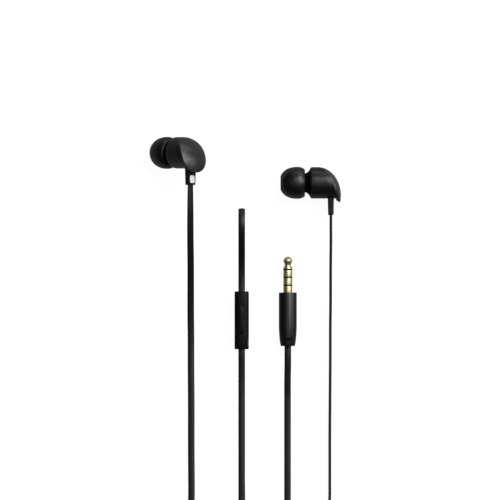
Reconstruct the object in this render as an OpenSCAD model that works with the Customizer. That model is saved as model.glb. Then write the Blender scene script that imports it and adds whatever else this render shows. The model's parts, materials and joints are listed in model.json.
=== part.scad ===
// Wired in-ear earphones with an in-line remote, a splitter and a 3.5 mm four-contact plug.
//
// The set lies on a surface at z = 0, seen from above with +Y up the page. Each earbud is built
// in its own frame: +X runs back from the barrel's front face, -Y runs down the stem and +Z is
// across the flat of the cable. A fourth number on a cord's route point is its roll in degrees:
// 0 lies flat and 90 stands on its edge.

/* [Eartip] */
// Largest radius of the dome
tip_r = 6.25; // [4.6:0.05:7.5]
// Distance from the barrel's front face back to the skirt's edge
tip_back = 2.34; // [2.1:0.02:3]
// Length of the dome from the front to the skirt's edge
tip_length = 10; // [9.4:0.1:11]
// Distance from the skirt's edge forward to the widest section
tip_belly = 2.9; // [2:0.1:4]
// Exponent of the dome's outline, where 2 is an ellipse and more is squarer
tip_square = 2.3; // [2:0.1:3]
// Wall of the dome
tip_wall = 0.7; // [0.5:0.05:1]
// Wall of the inner sleeve
tip_sleeve_wall = 0.65; // [0.4:0.05:0.9]
// Radius of the sound opening at the front
tip_mouth_r = 2.2; // [1.6:0.1:2.6]

/* [Nozzle] */
// Radius of the tube
nozzle_r = 2.4; // [2.1:0.05:2.6]
// Radius of the barb at the tube's front
barb_r = 2.7; // [2.65:0.05:2.8]
// Length of the barb
barb_length = 1.3; // [0.8:0.1:2]
// Distance that the tube stands forward of the barrel
nozzle_length = 9.2; // [8:0.1:9.6]
// Radius of the sound passage
nozzle_bore_r = 1.6; // [1:0.1:1.8]
// Radius of the collar behind the eartip
collar_r = 3.7; // [3.4:0.1:4]
// Depth of the flange inside the barrel
flange_depth = 1; // [0.6:0.1:1.2]
// Radius of the mesh over the passage
mesh_r = 1.95; // [1.85:0.05:2.1]
// Thickness of the mesh
mesh_thick = 0.3; // [0.2:0.05:0.4]

/* [Barrel] */
// Outer radius
barrel_r = 6.15; // [5.6:0.05:7]
// Wall thickness
barrel_wall = 0.85; // [0.7:0.05:1]
// Fillet of the front rim
barrel_edge = 0.3; // [0.2:0.05:0.5]

/* [Rear cap] */
// Distance from the barrel's front face to the cap's top edge
cap_start = 3; // [2.8:0.1:3.6]
// Depth of the cap's curve from its top edge to its rearmost point
cap_depth = 8.7; // [8.4:0.1:9.4]
// Drop from the cap's top to its rearmost point
cap_drop = 11.07; // [10:0.01:12]
// Distance of the cap's cross curve axis in front of the barrel's face
cap_axis_back = 3; // [0:0.5:8]
// Wall thickness at the rear
cap_wall = 0.9; // [0.6:0.05:1.2]
// Thickness of the edge at the top
cap_edge = 0.45; // [0.4:0.05:0.6]
// Amount that the cap stands out from the barrel's sides
cap_overhang = 0.15; // [0.05:0.05:0.4]
// Amount that the beak reaches below the barrel's outline
beak_drop = 1.45; // [0.8:0.05:2]
// Length of the beak's underside
beak_length = 2; // [1.6:0.1:2.2]
// Height of the beak's back edge under the barrel
beak_back = 0.55; // [0.3:0.05:0.8]

/* [Driver] */
// Distance from the flange to the driver
driver_gap = 0.3; // [0.1:0.05:0.6]
// Depth of the driver frame
driver_depth = 2.6; // [2.3:0.1:3]
// Width of the frame's rim
driver_rim = 0.55; // [0.4:0.05:0.8]
// Thickness of the frame's back
driver_back = 0.6; // [0.4:0.05:0.8]
// Thickness of the diaphragm film
film_thick = 0.12; // [0.08:0.02:0.2]
// Radius of the voice coil's outside
voice_r = 2.5; // [2.3:0.05:2.6]
// Wall of the voice coil
voice_wall = 0.15; // [0.1:0.05:0.2]
// Length of the voice coil
voice_length = 1.1; // [0.8:0.1:1.2]
// Radius of the magnet
magnet_r = 2.05; // [1.6:0.05:2.15]
// Thickness of the magnet
magnet_thick = 1.3; // [1:0.1:1.6]
// Thickness of the pole plate on the magnet
pole_thick = 0.5; // [0.3:0.05:0.6]
// Wall of the yoke
yoke_wall = 0.5; // [0.4:0.05:0.7]
// Clear gap on each side of the voice coil
voice_gap = 0.2; // [0.15:0.05:0.3]
// Thickness of the driver's terminal board
driver_board_thick = 0.4; // [0.3:0.05:0.6]
// Radius of the driver's terminal board
driver_board_r = 2.9; // [2.4:0.1:3.2]

/* [Stem] */
// Distance from the barrel's front face to the stem's centre line
stem_x = 7.75; // [7.6:0.05:7.9]
// Depth of the stem at its root, along the barrel
stem_depth = 2.42; // [2.2:0.02:2.5]
// Depth of the stem at its end
stem_end_depth = 2.1; // [1.9:0.02:2.2]
// Width of the stem at its root, across the barrel
stem_width = 4.05; // [3.6:0.05:4.1]
// Width of the stem at its end
stem_end_width = 3.85; // [3.4:0.05:3.9]
// Distance from the barrel's axis to the stem's end
stem_reach = 12.58; // [12:0.02:14]
// Fillet of the stem's long edges
stem_edge = 0.3; // [0.2:0.05:0.5]
// Width of the side mark
mark_width = 2.5; // [1.6:0.1:2.6]
// Height of the side mark
mark_height = 3.1; // [2.4:0.1:3.4]
// Thickness of the side mark
mark_thick = 0.3; // [0.2:0.05:0.4]
// Distance from the stem's end to the side mark
mark_lift = 0.75; // [0.5:0.05:1]
// Radius of the knot that holds the cable inside the barrel
knot_r = 1.1; // [0.9:0.05:1.2]

/* [Cable] */
// Width of the flat cable
cable_w = 2.6; // [2.2:0.1:2.6]
// Thickness of the flat cable
cable_t = 1.1; // [0.9:0.1:1.1]

/* [Remote] */
// Width of the housing
remote_w = 5.6; // [5.5:0.1:7]
// Length of the housing
remote_l = 22.6; // [21:0.1:26]
// Thickness of the housing
remote_t = 3.8; // [3.7:0.1:4.6]
// Fillet of the housing's corners, seen from the front
remote_corner = 0.5; // [0.3:0.05:0.9]
// Exponent of the housing's section, where 2 is an ellipse and more is squarer
remote_square = 2.6; // [2.4:0.1:3.4]
// Wall of the housing at its front and rear
remote_wall = 0.6; // [0.5:0.05:0.65]
// Width of the housing's inner room
remote_room_w = 3.8; // [3.7:0.05:3.9]
// Length of solid plastic at each end of the housing
remote_end = 1.4; // [1:0.1:2]
// Width of the button
button_w = 2.1; // [1.6:0.05:2.2]
// Length of the button
button_l = 10.9; // [8:0.1:12]
// Amount that the button stands proud of the housing
button_proud = 0.15; // [0.1:0.05:0.3]
// Travel of the button
button_travel = 0.3; // [0.2:0.05:0.3]
// Width of the lip that keeps the button in the housing
button_lip = 0.35; // [0.25:0.05:0.4]
// Thickness of that lip
button_lip_thick = 0.25; // [0.2:0.05:0.3]
// Width of the circuit board
board_w = 3.4; // [3:0.1:3.5]
// Length of the circuit board
board_l = 18.6; // [16:0.2:19]
// Thickness of the circuit board
board_t = 0.5; // [0.4:0.05:0.6]
// Height of the circuit board above the housing's rear
board_lift = 1.45; // [1.3:0.05:1.5]
// Side of the dome switch
switch_side = 2.6; // [2.2:0.1:3]
// Height of the dome switch
switch_t = 0.5; // [0.4:0.05:0.5]
// Radius of the microphone capsule
mic_r = 1.2; // [0.9:0.05:1.3]
// Height of the microphone capsule
mic_t = 0.8; // [0.6:0.05:0.8]
// Distance from the housing's centre to the microphone
mic_y = 8.1; // [7.8:0.1:8.1]
// Wall of the microphone's gasket
gasket_wall = 0.35; // [0.25:0.05:0.4]
// Length of the microphone port
port_l = 3; // [2:0.1:3.2]
// Distance from the housing's centre to the microphone port's middle
port_y = 8.8; // [8:0.1:8.9]
// Width of the microphone port
port_w = 0.9; // [0.4:0.05:0.95]

/* [Plug] */
// Diameter of the pin
pin_d = 3.5; // [3.5:0.1:3.5]
// Length of the pin
pin_l = 14; // [14:0.1:14.6]
// Length of the tip contact
pin_tip_l = 4.7; // [4.4:0.1:4.8]
// Length of each ring contact
pin_ring_l = 2.5; // [2.3:0.1:2.6]
// Width of each insulator
pin_gap_l = 0.6; // [0.4:0.05:0.7]
// Radius of the pin's inner core
core_r = 0.8; // [0.6:0.05:0.9]
// Distance that the pin's contacts reach into the plug's body
pin_root = 4; // [3:0.5:6]
// Diameter of the plug's body
plug_d = 7; // [6.4:0.1:9]
// Length of the plug's body
plug_l = 20.9; // [18:0.1:26]
// Diameter of the plug's body at the cable
plug_end_d = 5.6; // [5.2:0.1:6]
// Length of the taper towards the cable
plug_taper_l = 6.3; // [4:0.1:7]
// Fillet of the plug's edges
plug_edge = 0.35; // [0.2:0.05:0.5]
// Distance from the plug's cable end to the slot
slot_lift = 2.7; // [2:0.1:3.2]
// Width of the slot
slot_w = 2.7; // [2:0.1:3.2]
// Height of the slot
slot_h = 1; // [0.5:0.1:1.2]
// Depth of the slot
slot_deep = 0.8; // [0.5:0.05:0.9]
// Radius of the hard mould inside the plug's body
mould_r = 2.4; // [2.1:0.1:2.6]
// Length of the hard mould inside the plug's body
mould_l = 9; // [7:0.5:11]

/* [Splitter] */
// Distance between the two legs' centres
split_pitch = 4.4; // [4.2:0.1:5]
// Length of the splitter
split_l = 14; // [12:0.5:14]
// Thickness of the splitter
split_t = 3; // [2.8:0.1:3.6]
// Amount of plastic at each side of the cables
split_side = 0.8; // [0.6:0.1:1.2]
// Width of the splitter at the trunk
split_end_w = 4.6; // [4.2:0.1:6]
// Wall of the splitter's shells
split_wall = 0.7; // [0.6:0.05:0.9]
// Radius of the crimp that holds the cables inside
crimp_r = 0.65; // [0.5:0.05:0.7]
// Length of the crimp
crimp_l = 5; // [3:0.5:7]

/* [Coils] */
// Distance between turns beside each other
coil_pitch = 1.7; // [1.7:0.05:1.8]
// Distance between turns on each other
coil_layer = 3.1; // [3.1:0.05:3.3]
// Thickness of the ties
tie_t = 0.4; // [0.3:0.05:0.5]
// Width of the ties
tie_w = 3; // [2:0.5:4]
// Length of the ties' twisted tails
tie_tail = 7; // [4:0.5:9]

/* [Clearances] */
// Gap between fixed pieces that are glued or snapped together
seam = 0.03; // [0.02:0.01:0.05]
// Radial gap between the eartip's sleeve and the barb
tip_fit = 0.05; // [0.03:0.01:0.1]
// Gap around the button
button_fit = 0.08; // [0.05:0.01:0.12]
// Gap under the remote, over the cable that it lies on
lay_gap = 0.05; // [0.05:0.05:0.1]

/* [Hidden] */

$fn = 48;
// Small length by which a cutting shape runs past what it cuts
past = 0.1;

// Colours
TIP_BLACK = "#2a2a2c";
SATIN_BLACK = "#242426";
CAP_GREY = "#3a3a3c";
NECK_BLACK = "#101011";
CABLE_BLACK = "#1a1a1b";
MARK_WHITE = "#e8e8e6";
STEEL = "#b4b6b8";
COPPER = "#b5713c";
FILM = "#c9b98c";
BOARD_GREEN = "#1f5a38";
GOLD = "#d8b45c";
PLUG_GREY = "#2e2e31";

// Places of the barrels' front faces in the set, and the turn of the left earbud about its stem
right_x = 25.63;
right_y = -2.89;
left_x = -26.76;
left_y = 8.8;
left_turn = 46;

// Eartip outline
tip_front = tip_back + tip_length;
belly_x = -(tip_back + tip_belly);
dome_front_len = tip_front - (tip_back + tip_belly);
dome_back_len = 4.6;
sleeve_bore_r = barb_r + tip_fit;
sleeve_r = sleeve_bore_r + tip_sleeve_wall;
sleeve_back = tip_back + 0.2;
tip_steps = 16;

// Points of the dome from the skirt's edge to the front, for a dome thinner than the full one by
// inset. It is two squared ellipses that meet at the widest section.
function dome(inset) = let (
    r = tip_r - inset,
    front_len = dome_front_len - inset,
    skirt_r = r * pow(1 - pow(tip_belly / dome_back_len, tip_square), 1 / tip_square),
    skirt_at = acos(pow(skirt_r / r, tip_square / 2))
) concat(
    [
        for (i = [0 : tip_steps / 2 - 1])
            let (t = skirt_at * (1 - 2 * i / tip_steps))
            [
                belly_x + dome_back_len * pow(sin(t), 2 / tip_square),
                r * pow(cos(t), 2 / tip_square)
            ]
    ],
    [
        for (i = [0 : tip_steps])
            let (t = 90 * i / tip_steps)
            [
                belly_x - front_len * pow(sin(t), 2 / tip_square),
                r * pow(cos(t), 2 / tip_square)
            ]
    ]
);
dome_outside = [for (p = dome(0)) if (p[1] > tip_mouth_r) p];
dome_inside = [for (p = dome(tip_wall)) if (p[1] > sleeve_r) p];
function last(list) = list[len(list) - 1];
mouth_x = last(dome_outside)[0] - 0.1;

// Heights of the two earbuds: each lies on its lowest point
right_z = max(barrel_r + cap_overhang, tip_r);
left_z = max([for (p = dome_outside) p[1] * cos(left_turn) - p[0] * sin(left_turn)]);

// Barrel and driver
barrel_bore_r = barrel_r - barrel_wall;
driver_x = flange_depth + driver_gap;
driver_r = barrel_bore_r - seam;
film_x = driver_x + driver_rim;
yoke_inner_r = voice_r + voice_gap;
yoke_r = yoke_inner_r + yoke_wall;
film_r = driver_r - driver_rim / 2;
film_rise = 0.35;
surround_r = voice_r + 0.4;
pole_x = film_x + film_thick + film_rise;
magnet_x = pole_x + pole_thick;
yoke_floor_x = magnet_x + magnet_thick;
yoke_back_x = yoke_floor_x + yoke_wall;

// Cap: an ellipse in the side view, turned about an upright axis in front of the barrel
ellipse_x = cap_start - 0.4;
ellipse_a = cap_depth + 0.4;
ellipse_y = barrel_r + 0.02 - cap_drop;
cap_steps = 28;
function cap_outline(inset_x, inset_y) = [
    for (i = [0 : cap_steps])
        let (t = 90 - 125 * i / cap_steps)
        [
            ellipse_x + cap_axis_back + (ellipse_a - inset_x) * cos(t),
            ellipse_y + (cap_drop - inset_y) * sin(t)
        ]
];

// Stem
collar_y = 4.7;
collar_thick = 0.5;
foot_edge = 0.25;

// Remote
remote_x = -1.4;
remote_y = -56.55;
remote_z = cable_t + lay_gap;
room_l = remote_l - 2 * remote_end;
room_top = remote_t - remote_wall;
button_lip_top = room_top - seam;
switch_top = board_lift + board_t + switch_t;
button_nub_z = switch_top + button_travel + seam;

// Plug
plug_x = 16.6;
plug_top_y = -45.7;
plug_z = plug_d / 2;
pin_r = pin_d / 2;
first_ring_at = pin_tip_l + pin_gap_l;
second_ring_at = first_ring_at + pin_ring_l + pin_gap_l;
sleeve_at = second_ring_at + pin_ring_l + pin_gap_l;
ring_bore_r = 1.3;
// The sleeve contact is a little thinner inside the plug's body
root_r = pin_r - 0.2;

// Splitter: it lies across the page, with the legs' ends to the right
split_x = -4;
split_y = -165.2;
split_z = split_t / 2;
split_w = split_pitch + cable_w + 2 * split_side;
split_corner = 0.8;

// Coils: the cable stands on its edge in them
coil_base = tie_t + lay_gap;
coil_low_z = coil_base + cable_w / 2;
coil_high_z = coil_low_z + coil_layer;
loop_rings = 24;
end_straight = cable_w;
leg_coil_c = [40.5, -150.5];
leg_coil_r = 15.5;
leg_coil_turn = 990;
trunk_coil_c = [-10.4, -190];
trunk_coil_r = 15.9;
trunk_coil_turn = 2700;
// Both start on their left side and turn against the clock
coil_from = 180;

// ---------------------------------------------------------------------------------------
// Shapes that several pieces use

// Solid of revolution about X from points [x, radius]
module revolve_x(points) {
    rotate([0, 90, 0])
        rotate_extrude()
            polygon([for (p = points) [p[1], p[0]]]);
}

// Tube or disc about X between two places
module disc_x(from, to, r, bore = 0) {
    difference() {
        translate([from, 0, 0])
            rotate([0, 90, 0])
                cylinder(r = r, h = to - from);
        if (bore > 0)
            translate([from - past, 0, 0])
                rotate([0, 90, 0])
                    cylinder(r = bore, h = to - from + 2 * past);
    }
}

// Points of a squared ellipse with half sizes a and b
function squared_ellipse(a, b, p, n = 40) = [
    for (i = [0 : n - 1])
        let (t = 360 * i / n, c = cos(t), s = sin(t))
        [a * sign(c) * pow(abs(c), 2 / p), b * sign(s) * pow(abs(s), 2 / p)]
];

// Flat plate with round corners, centred in X and Y, from z = 0
module round_plate(x, y, z, r) {
    linear_extrude(z) {
        square([x - 2 * r, y], center = true);
        square([x, y - 2 * r], center = true);
        for (i = [-1, 1], j = [-1, 1])
            translate([i * (x / 2 - r), j * (y / 2 - r)])
                circle(r);
    }
}

module at_left() {
    translate([left_x, left_y, left_z])
        rotate([0, -left_turn, 0])
            children();
}

module at_right() {
    translate([right_x, right_y, right_z])
        children();
}

// ---------------------------------------------------------------------------------------
// Earbud pieces, in the earbud's own frame

// Silicone dome with the sleeve that grips the barb
module eartip() {
    color(TIP_BLACK)
        revolve_x(concat(
            dome_outside,
            [
                [mouth_x, tip_mouth_r],
                [mouth_x + 0.45, sleeve_bore_r - 0.45],
                [mouth_x + tip_wall + 0.6, sleeve_bore_r - 0.45],
                [mouth_x + tip_wall + 0.9, sleeve_bore_r],
                [-sleeve_back, sleeve_bore_r],
                [-sleeve_back, sleeve_r]
            ],
            [[last(dome_inside)[0], sleeve_r]],
            [for (i = [len(dome_inside) - 1 : -1 : 0]) dome_inside[i]]
        ));
}

// Front cone, collar, tube and barb in one moulding
module nozzle() {
    tube_start = tip_back - 0.25;
    color(NECK_BLACK)
        difference() {
            revolve_x([
                [flange_depth, 0],
                [flange_depth, barrel_bore_r - seam],
                [0, barrel_bore_r - seam],
                [0, barrel_r - barrel_edge],
                [-0.25, barrel_r - barrel_edge],
                [-0.55, barrel_r - 1.05],
                [-1.05, collar_r + 0.75],
                [-1.6, collar_r + 0.25],
                [-tube_start, collar_r],
                [-tube_start, nozzle_r],
                [-nozzle_length + barb_length, nozzle_r],
                [-nozzle_length + barb_length, barb_r],
                [-nozzle_length + 0.45, barb_r],
                [-nozzle_length, barb_r - 0.3],
                [-nozzle_length, 0]
            ]);
            disc_x(-nozzle_length - past, flange_depth + past, nozzle_bore_r);
            disc_x(-nozzle_length - past, -nozzle_length + mesh_thick, mesh_r);
            // The sound chamber widens towards the driver
            revolve_x([
                [flange_depth + past, 0],
                [flange_depth + past, barrel_bore_r - 1.2],
                [flange_depth - 0.4, barrel_bore_r - 1.2],
                [-0.2, nozzle_bore_r],
                [-0.2, 0]
            ]);
        }
}

// Pressed metal mesh in the tube's mouth
module nozzle_mesh() {
    hole_r = 0.16;
    hole_pitch = 0.6;
    color(STEEL)
        difference() {
            disc_x(-nozzle_length, -nozzle_length + mesh_thick - seam, mesh_r - seam);
            for (j = [-2 : 2], k = [-2 : 2])
                let (y = hole_pitch * j, z = hole_pitch * k)
                    if (norm([y, z]) < nozzle_bore_r - hole_r)
                        translate([-nozzle_length - past, y, z])
                            rotate([0, 90, 0])
                                cylinder(r = hole_r, h = mesh_thick + 2 * past, $fn = 16);
        }
}

// Solid behind the cap's outer surface, or behind its inner surface with the walls as insets
module cap_form(inset_x, inset_y) {
    outline = cap_outline(inset_x, inset_y);
    translate([-cap_axis_back, 0, 0])
        rotate([-90, 0, 0])
            rotate_extrude($fn = 96)
                polygon(concat(
                    [[0, outline[0][1]]],
                    outline,
                    [[0, last(outline)[1]]]
                ));
}

// The room that the barrel may fill in front of the cap
module barrel_side_of_cap() {
    reach = 2 * barrel_r;
    translate([-reach, -reach, -reach])
        cube([reach + cap_start - seam, 2 * reach, 2 * reach]);
    intersection() {
        cap_form(cap_wall + seam, cap_edge + seam);
        translate([cap_start - 1, -reach, -reach])
            cube([reach, 2 * reach, 2 * reach]);
    }
}

// Outline of the cap seen along the barrel
module cap_prism(from, to) {
    r = barrel_r + cap_overhang;
    translate([from, 0, 0])
        rotate([0, 90, 0])
            linear_extrude(to - from) {
                circle(r);
                translate([-r, -beak_drop])
                    square([2 * r, beak_drop]);
                translate([0, -beak_drop])
                    circle(r);
            }
}

module stem_hole() {
    slot_d = stem_depth + 2 * seam;
    slot_across = stem_width + 2 * seam;
    translate([stem_x - slot_d / 2, -barrel_r - past, -slot_across / 2])
        cube([slot_d, barrel_r + past, slot_across]);
}

module barrel() {
    far = cap_start + cap_depth;
    color(SATIN_BLACK)
        difference() {
            intersection() {
                revolve_x([
                    [0, 0],
                    [0, barrel_r - barrel_edge],
                    [barrel_edge / 3, barrel_r - barrel_edge / 3],
                    [barrel_edge, barrel_r],
                    [far, barrel_r],
                    [far, 0]
                ]);
                barrel_side_of_cap();
            }
            disc_x(-past, far + past, barrel_bore_r);
            stem_hole();
        }
}

// Curved leaf over the slanted rear, with the beak below
module rear_cap() {
    far = cap_start + cap_depth + 1;
    chin_y = -barrel_r - seam;
    beak_tip_y = -(barrel_r + cap_overhang + beak_drop);
    chin_x = cap_start + cap_depth - beak_length;
    color(CAP_GREY)
        intersection() {
            cap_form(0, 0);
            cap_prism(cap_start, far);
            union() {
                difference() {
                    translate([cap_start, -2 * barrel_r, -2 * barrel_r])
                        cube([far, 4 * barrel_r, 4 * barrel_r]);
                    cap_form(cap_wall, cap_edge);
                }
                translate([0, 0, -barrel_r])
                    linear_extrude(2 * barrel_r)
                        polygon([
                            [chin_x, chin_y],
                            [far, chin_y],
                            [far, beak_tip_y],
                            [chin_x + beak_length - 0.3, beak_tip_y],
                            [chin_x, chin_y - beak_back]
                        ]);
            }
        }
}

module driver_frame() {
    back = driver_x + driver_depth;
    color(SATIN_BLACK)
        difference() {
            disc_x(driver_x, back, driver_r);
            disc_x(driver_x - past, film_x, driver_r - driver_rim);
            disc_x(film_x - past, back - driver_back, film_r);
            disc_x(film_x, back + past, yoke_r + seam);
        }
}

// Domed film, clamped at its edge and with a ring seat for the voice coil
module diaphragm() {
    dome_top = film_x - film_rise;
    color(FILM)
        revolve_x([
            [dome_top, 0],
            [film_x - film_rise / 2, voice_r / 2],
            [film_x, voice_r],
            [film_x - film_rise / 2, surround_r + (film_r - surround_r) / 2],
            [film_x + seam, film_r - seam],
            [film_x + seam + film_thick, film_r - seam],
            [film_x - film_rise / 2 + film_thick, surround_r + (film_r - surround_r) / 2],
            [film_x + film_thick, voice_r],
            [film_x - film_rise / 2 + film_thick, voice_r / 2],
            [dome_top + film_thick, 0]
        ]);
}

module voice_coil() {
    from = film_x + film_thick + seam;
    color(COPPER)
        disc_x(from, from + voice_length, voice_r, voice_r - voice_wall);
}

module pole_plate() {
    color(STEEL)
        disc_x(pole_x, magnet_x - seam, magnet_r + 0.1);
}

module magnet() {
    color("#8a8c90")
        disc_x(magnet_x, yoke_floor_x - seam, magnet_r);
}

module yoke() {
    color(STEEL)
        difference() {
            disc_x(pole_x, yoke_back_x, yoke_r);
            disc_x(pole_x - past, yoke_floor_x, yoke_inner_r);
        }
}

module driver_board() {
    from = yoke_back_x + seam;
    color(BOARD_GREEN)
        difference() {
            disc_x(from, from + driver_board_thick, driver_board_r);
            disc_x(from - past, from + driver_board_thick + past, 0.8);
        }
    // Two solder pads
    color(STEEL)
        for (k = [-1, 1])
            translate([0, 0, k * (driver_board_r - 1.2)])
                disc_x(from + driver_board_thick, from + driver_board_thick + 0.25, 0.55);
}

// Knot of the cable on the stem's inner collar
module cable_knot() {
    y = -(collar_y - collar_thick) + seam;
    color(CABLE_BLACK)
        translate([stem_x, y, 0])
            rotate([-90, 0, 0])
                cylinder(r = knot_r, h = 1.6);
}

// Outline of the stem's shaft, a wide at its root and b at its end, along -Y
module shaft_outline(a, b) {
    polygon([
        [-a / 2, collar_thick - collar_y],
        [-a / 2, -barrel_r],
        [-b / 2, foot_edge - stem_reach],
        [foot_edge - b / 2, -stem_reach],
        [b / 2 - foot_edge, -stem_reach],
        [b / 2, foot_edge - stem_reach],
        [a / 2, -barrel_r],
        [a / 2, collar_thick - collar_y]
    ]);
}

module stem() {
    plate_face = stem_x + stem_end_depth / 2;
    color(SATIN_BLACK)
        difference() {
            union() {
                intersection() {
                    translate([stem_x, 0, -stem_width])
                        linear_extrude(2 * stem_width)
                            shaft_outline(stem_depth, stem_end_depth);
                    translate([stem_x - stem_depth, 0, 0])
                        rotate([0, 90, 0])
                            linear_extrude(2 * stem_depth)
                                shaft_outline(stem_width, stem_end_width);
                    translate([stem_x, 0, 0])
                        rotate([90, 0, 0])
                            round_plate(stem_depth, stem_width, stem_reach + 1, stem_edge);
                }
                translate([stem_x, collar_thick - collar_y, 0])
                    rotate([90, 0, 0])
                        round_plate(stem_depth + 0.6, stem_width + 0.7, collar_thick, stem_edge);
            }
            // Pocket of the side mark
            translate([plate_face - mark_thick + 0.1, mark_lift - stem_reach, -mark_width / 2])
                cube([stem_depth, mark_height, mark_width]);
        }
}

// Plate in the stem's pocket, a little proud of it
module side_mark() {
    from = stem_x + stem_end_depth / 2 - mark_thick + 0.1 + seam;
    mid_y = mark_lift + mark_height / 2 - stem_reach;
    color(MARK_WHITE)
        translate([from, mid_y, 0])
            rotate([0, 90, 0])
                round_plate(mark_width - 2 * seam, mark_height - 2 * seam, mark_thick, 0.4);
}

// ---------------------------------------------------------------------------------------
// Remote, centred in X and Y, from z = 0 at its rear face

module remote_blank() {
    intersection() {
        translate([0, remote_l / 2, remote_t / 2])
            rotate([90, 0, 0])
                linear_extrude(remote_l)
                    polygon(squared_ellipse(remote_w / 2, remote_t / 2, remote_square));
        round_plate(remote_w, remote_l, remote_t, remote_corner);
    }
}

module remote_half(from, to) {
    intersection() {
        difference() {
            remote_blank();
            translate([-remote_room_w / 2, -room_l / 2, remote_wall])
                cube([remote_room_w, room_l, room_top - remote_wall]);
        }
        translate([-remote_w, -remote_l, from])
            cube([2 * remote_w, 2 * remote_l, to - from]);
    }
}

// Slot in the right flank, beside the microphone
module mic_port() {
    translate([remote_room_w / 2 - past, -port_y - port_l / 2, remote_t / 2 + 0.3])
        cube([remote_w, port_l, port_w]);
}

module remote_front_shell() {
    color(SATIN_BLACK)
        difference() {
            remote_half(remote_t / 2 + seam, remote_t);
            round_window(button_w + 2 * button_fit, button_l + 2 * button_fit);
            mic_port();
        }
}

module round_window(w, l) {
    translate([0, 0, room_top - past])
        round_plate(w, l, remote_wall + 2 * past, w / 2 - 0.01);
}

module remote_rear_shell() {
    // Two rails carry the board
    rail_w = 0.5;
    color(SATIN_BLACK) {
        remote_half(0, remote_t / 2);
        for (i = [-1, 1])
            translate([i * (board_w / 2 - rail_w / 2) - rail_w / 2, -board_l / 2, remote_wall])
                cube([rail_w, board_l, board_lift - seam - remote_wall]);
    }
}

module remote_button() {
    lip_w = button_w + 2 * button_lip;
    lip_l = button_l + 2 * button_lip;
    color(CAP_GREY) {
        translate([0, 0, button_lip_top - past])
            round_plate(button_w, button_l, remote_wall + seam + past + button_proud,
                button_w / 2 - 0.01);
        translate([0, 0, button_lip_top - button_lip_thick])
            round_plate(lip_w, lip_l, button_lip_thick, lip_w / 2 - 0.01);
        translate([0, 0, button_nub_z])
            cylinder(r = 0.6, h = button_lip_top - button_nub_z);
    }
}

module remote_board() {
    color(BOARD_GREEN)
        translate([-board_w / 2, -board_l / 2, board_lift])
            cube([board_w, board_l, board_t]);
}

module remote_switch() {
    z = board_lift + board_t + seam;
    color(STEEL) {
        translate([-switch_side / 2, -switch_side / 2, z])
            cube([switch_side, switch_side, switch_t * 0.6]);
        translate([0, 0, z])
            cylinder(r = 0.9, h = switch_t - seam);
    }
}

module mic_capsule() {
    color(STEEL)
        translate([0, -mic_y, board_lift + board_t + seam])
            cylinder(r = mic_r, h = mic_t);
}

module mic_gasket() {
    r = mic_r + gasket_wall;
    color(NECK_BLACK)
        translate([0, -mic_y, board_lift + board_t + seam])
            difference() {
                cylinder(r = r, h = mic_t);
                translate([0, 0, -past])
                    cylinder(r = mic_r + seam, h = mic_t + 2 * past);
                translate([0, -0.35, 0.25])
                    cube([2 * r, 0.7, 0.4]);
            }
}

module at_remote() {
    translate([remote_x, remote_y, remote_z])
        children();
}

// ---------------------------------------------------------------------------------------
// Plug, built along +X from its tip and turned so that the tip points up the page

module at_plug() {
    translate([plug_x, plug_top_y + pin_l, plug_z])
        rotate([0, 0, -90])
            children();
}

// Nose, head, neck and shoulder of the tip contact, with the rod that runs down the pin
module plug_tip() {
    color(GOLD)
        revolve_x([
            [0, 0],
            [0, 0.55],
            [0.35, 0.95],
            [1.25, pin_r],
            [1.75, pin_r],
            [3.2, 1.2],
            [3.6, 1.2],
            [4.3, pin_r],
            [pin_tip_l, pin_r],
            [pin_tip_l, core_r],
            [pin_l + pin_root, core_r],
            [pin_l + pin_root, 0]
        ]);
}

module plug_first_ring() {
    color(GOLD)
        disc_x(first_ring_at, first_ring_at + pin_ring_l, pin_r, ring_bore_r + seam);
}

module plug_second_ring() {
    color(GOLD)
        disc_x(second_ring_at, second_ring_at + pin_ring_l, pin_r, ring_bore_r + seam);
}

module plug_sleeve() {
    color(GOLD) {
        disc_x(sleeve_at, pin_l, pin_r, ring_bore_r + seam);
        disc_x(pin_l, pin_l + pin_root, root_r, ring_bore_r + seam);
    }
}

// One moulding: a tube under the rings with a collar in each gap
module plug_insulators() {
    color("#2b2418") {
        disc_x(pin_tip_l, pin_l + pin_root, ring_bore_r, core_r + seam);
        for (at = [pin_tip_l, first_ring_at + pin_ring_l, second_ring_at + pin_ring_l])
            disc_x(at, at + pin_gap_l, pin_r, core_r + seam);
    }
}

module plug_inner_mould() {
    from = pin_l + 1;
    color("#4a4a4e")
        difference() {
            disc_x(from, from + mould_l, mould_r);
            disc_x(from - past, pin_l + pin_root + seam, root_r + seam);
        }
}

module plug_body() {
    end = pin_l + plug_l;
    r = plug_d / 2;
    end_r = plug_end_d / 2;
    color(PLUG_GREY)
        difference() {
            revolve_x([
                [pin_l, 0],
                [pin_l, r - plug_edge],
                [pin_l + plug_edge / 3, r - plug_edge / 3],
                [pin_l + plug_edge, r],
                [end - plug_taper_l, r],
                [end - plug_taper_l / 2, r - 0.3 * (r - end_r)],
                [end - plug_edge, end_r],
                [end, end_r - plug_edge],
                [end, 0]
            ]);
            disc_x(pin_l - past, pin_l + 2, root_r + seam);
            disc_x(pin_l + 1 - seam, pin_l + 1 + mould_l + seam, mould_r + seam);
            for (side = [-1, 1])
                translate([
                    end - slot_lift + slot_h / 2 - slot_h,
                    -slot_w / 2,
                    side > 0 ? end_r - slot_deep + 0.1 : -end_r + slot_deep - 0.1 - r
                ])
                    cube([slot_h, slot_w, r]);
        }
}

// ---------------------------------------------------------------------------------------
// Splitter, built along -X from the legs' end

module at_splitter() {
    translate([split_x, split_y, 0])
        children();
}

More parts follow.
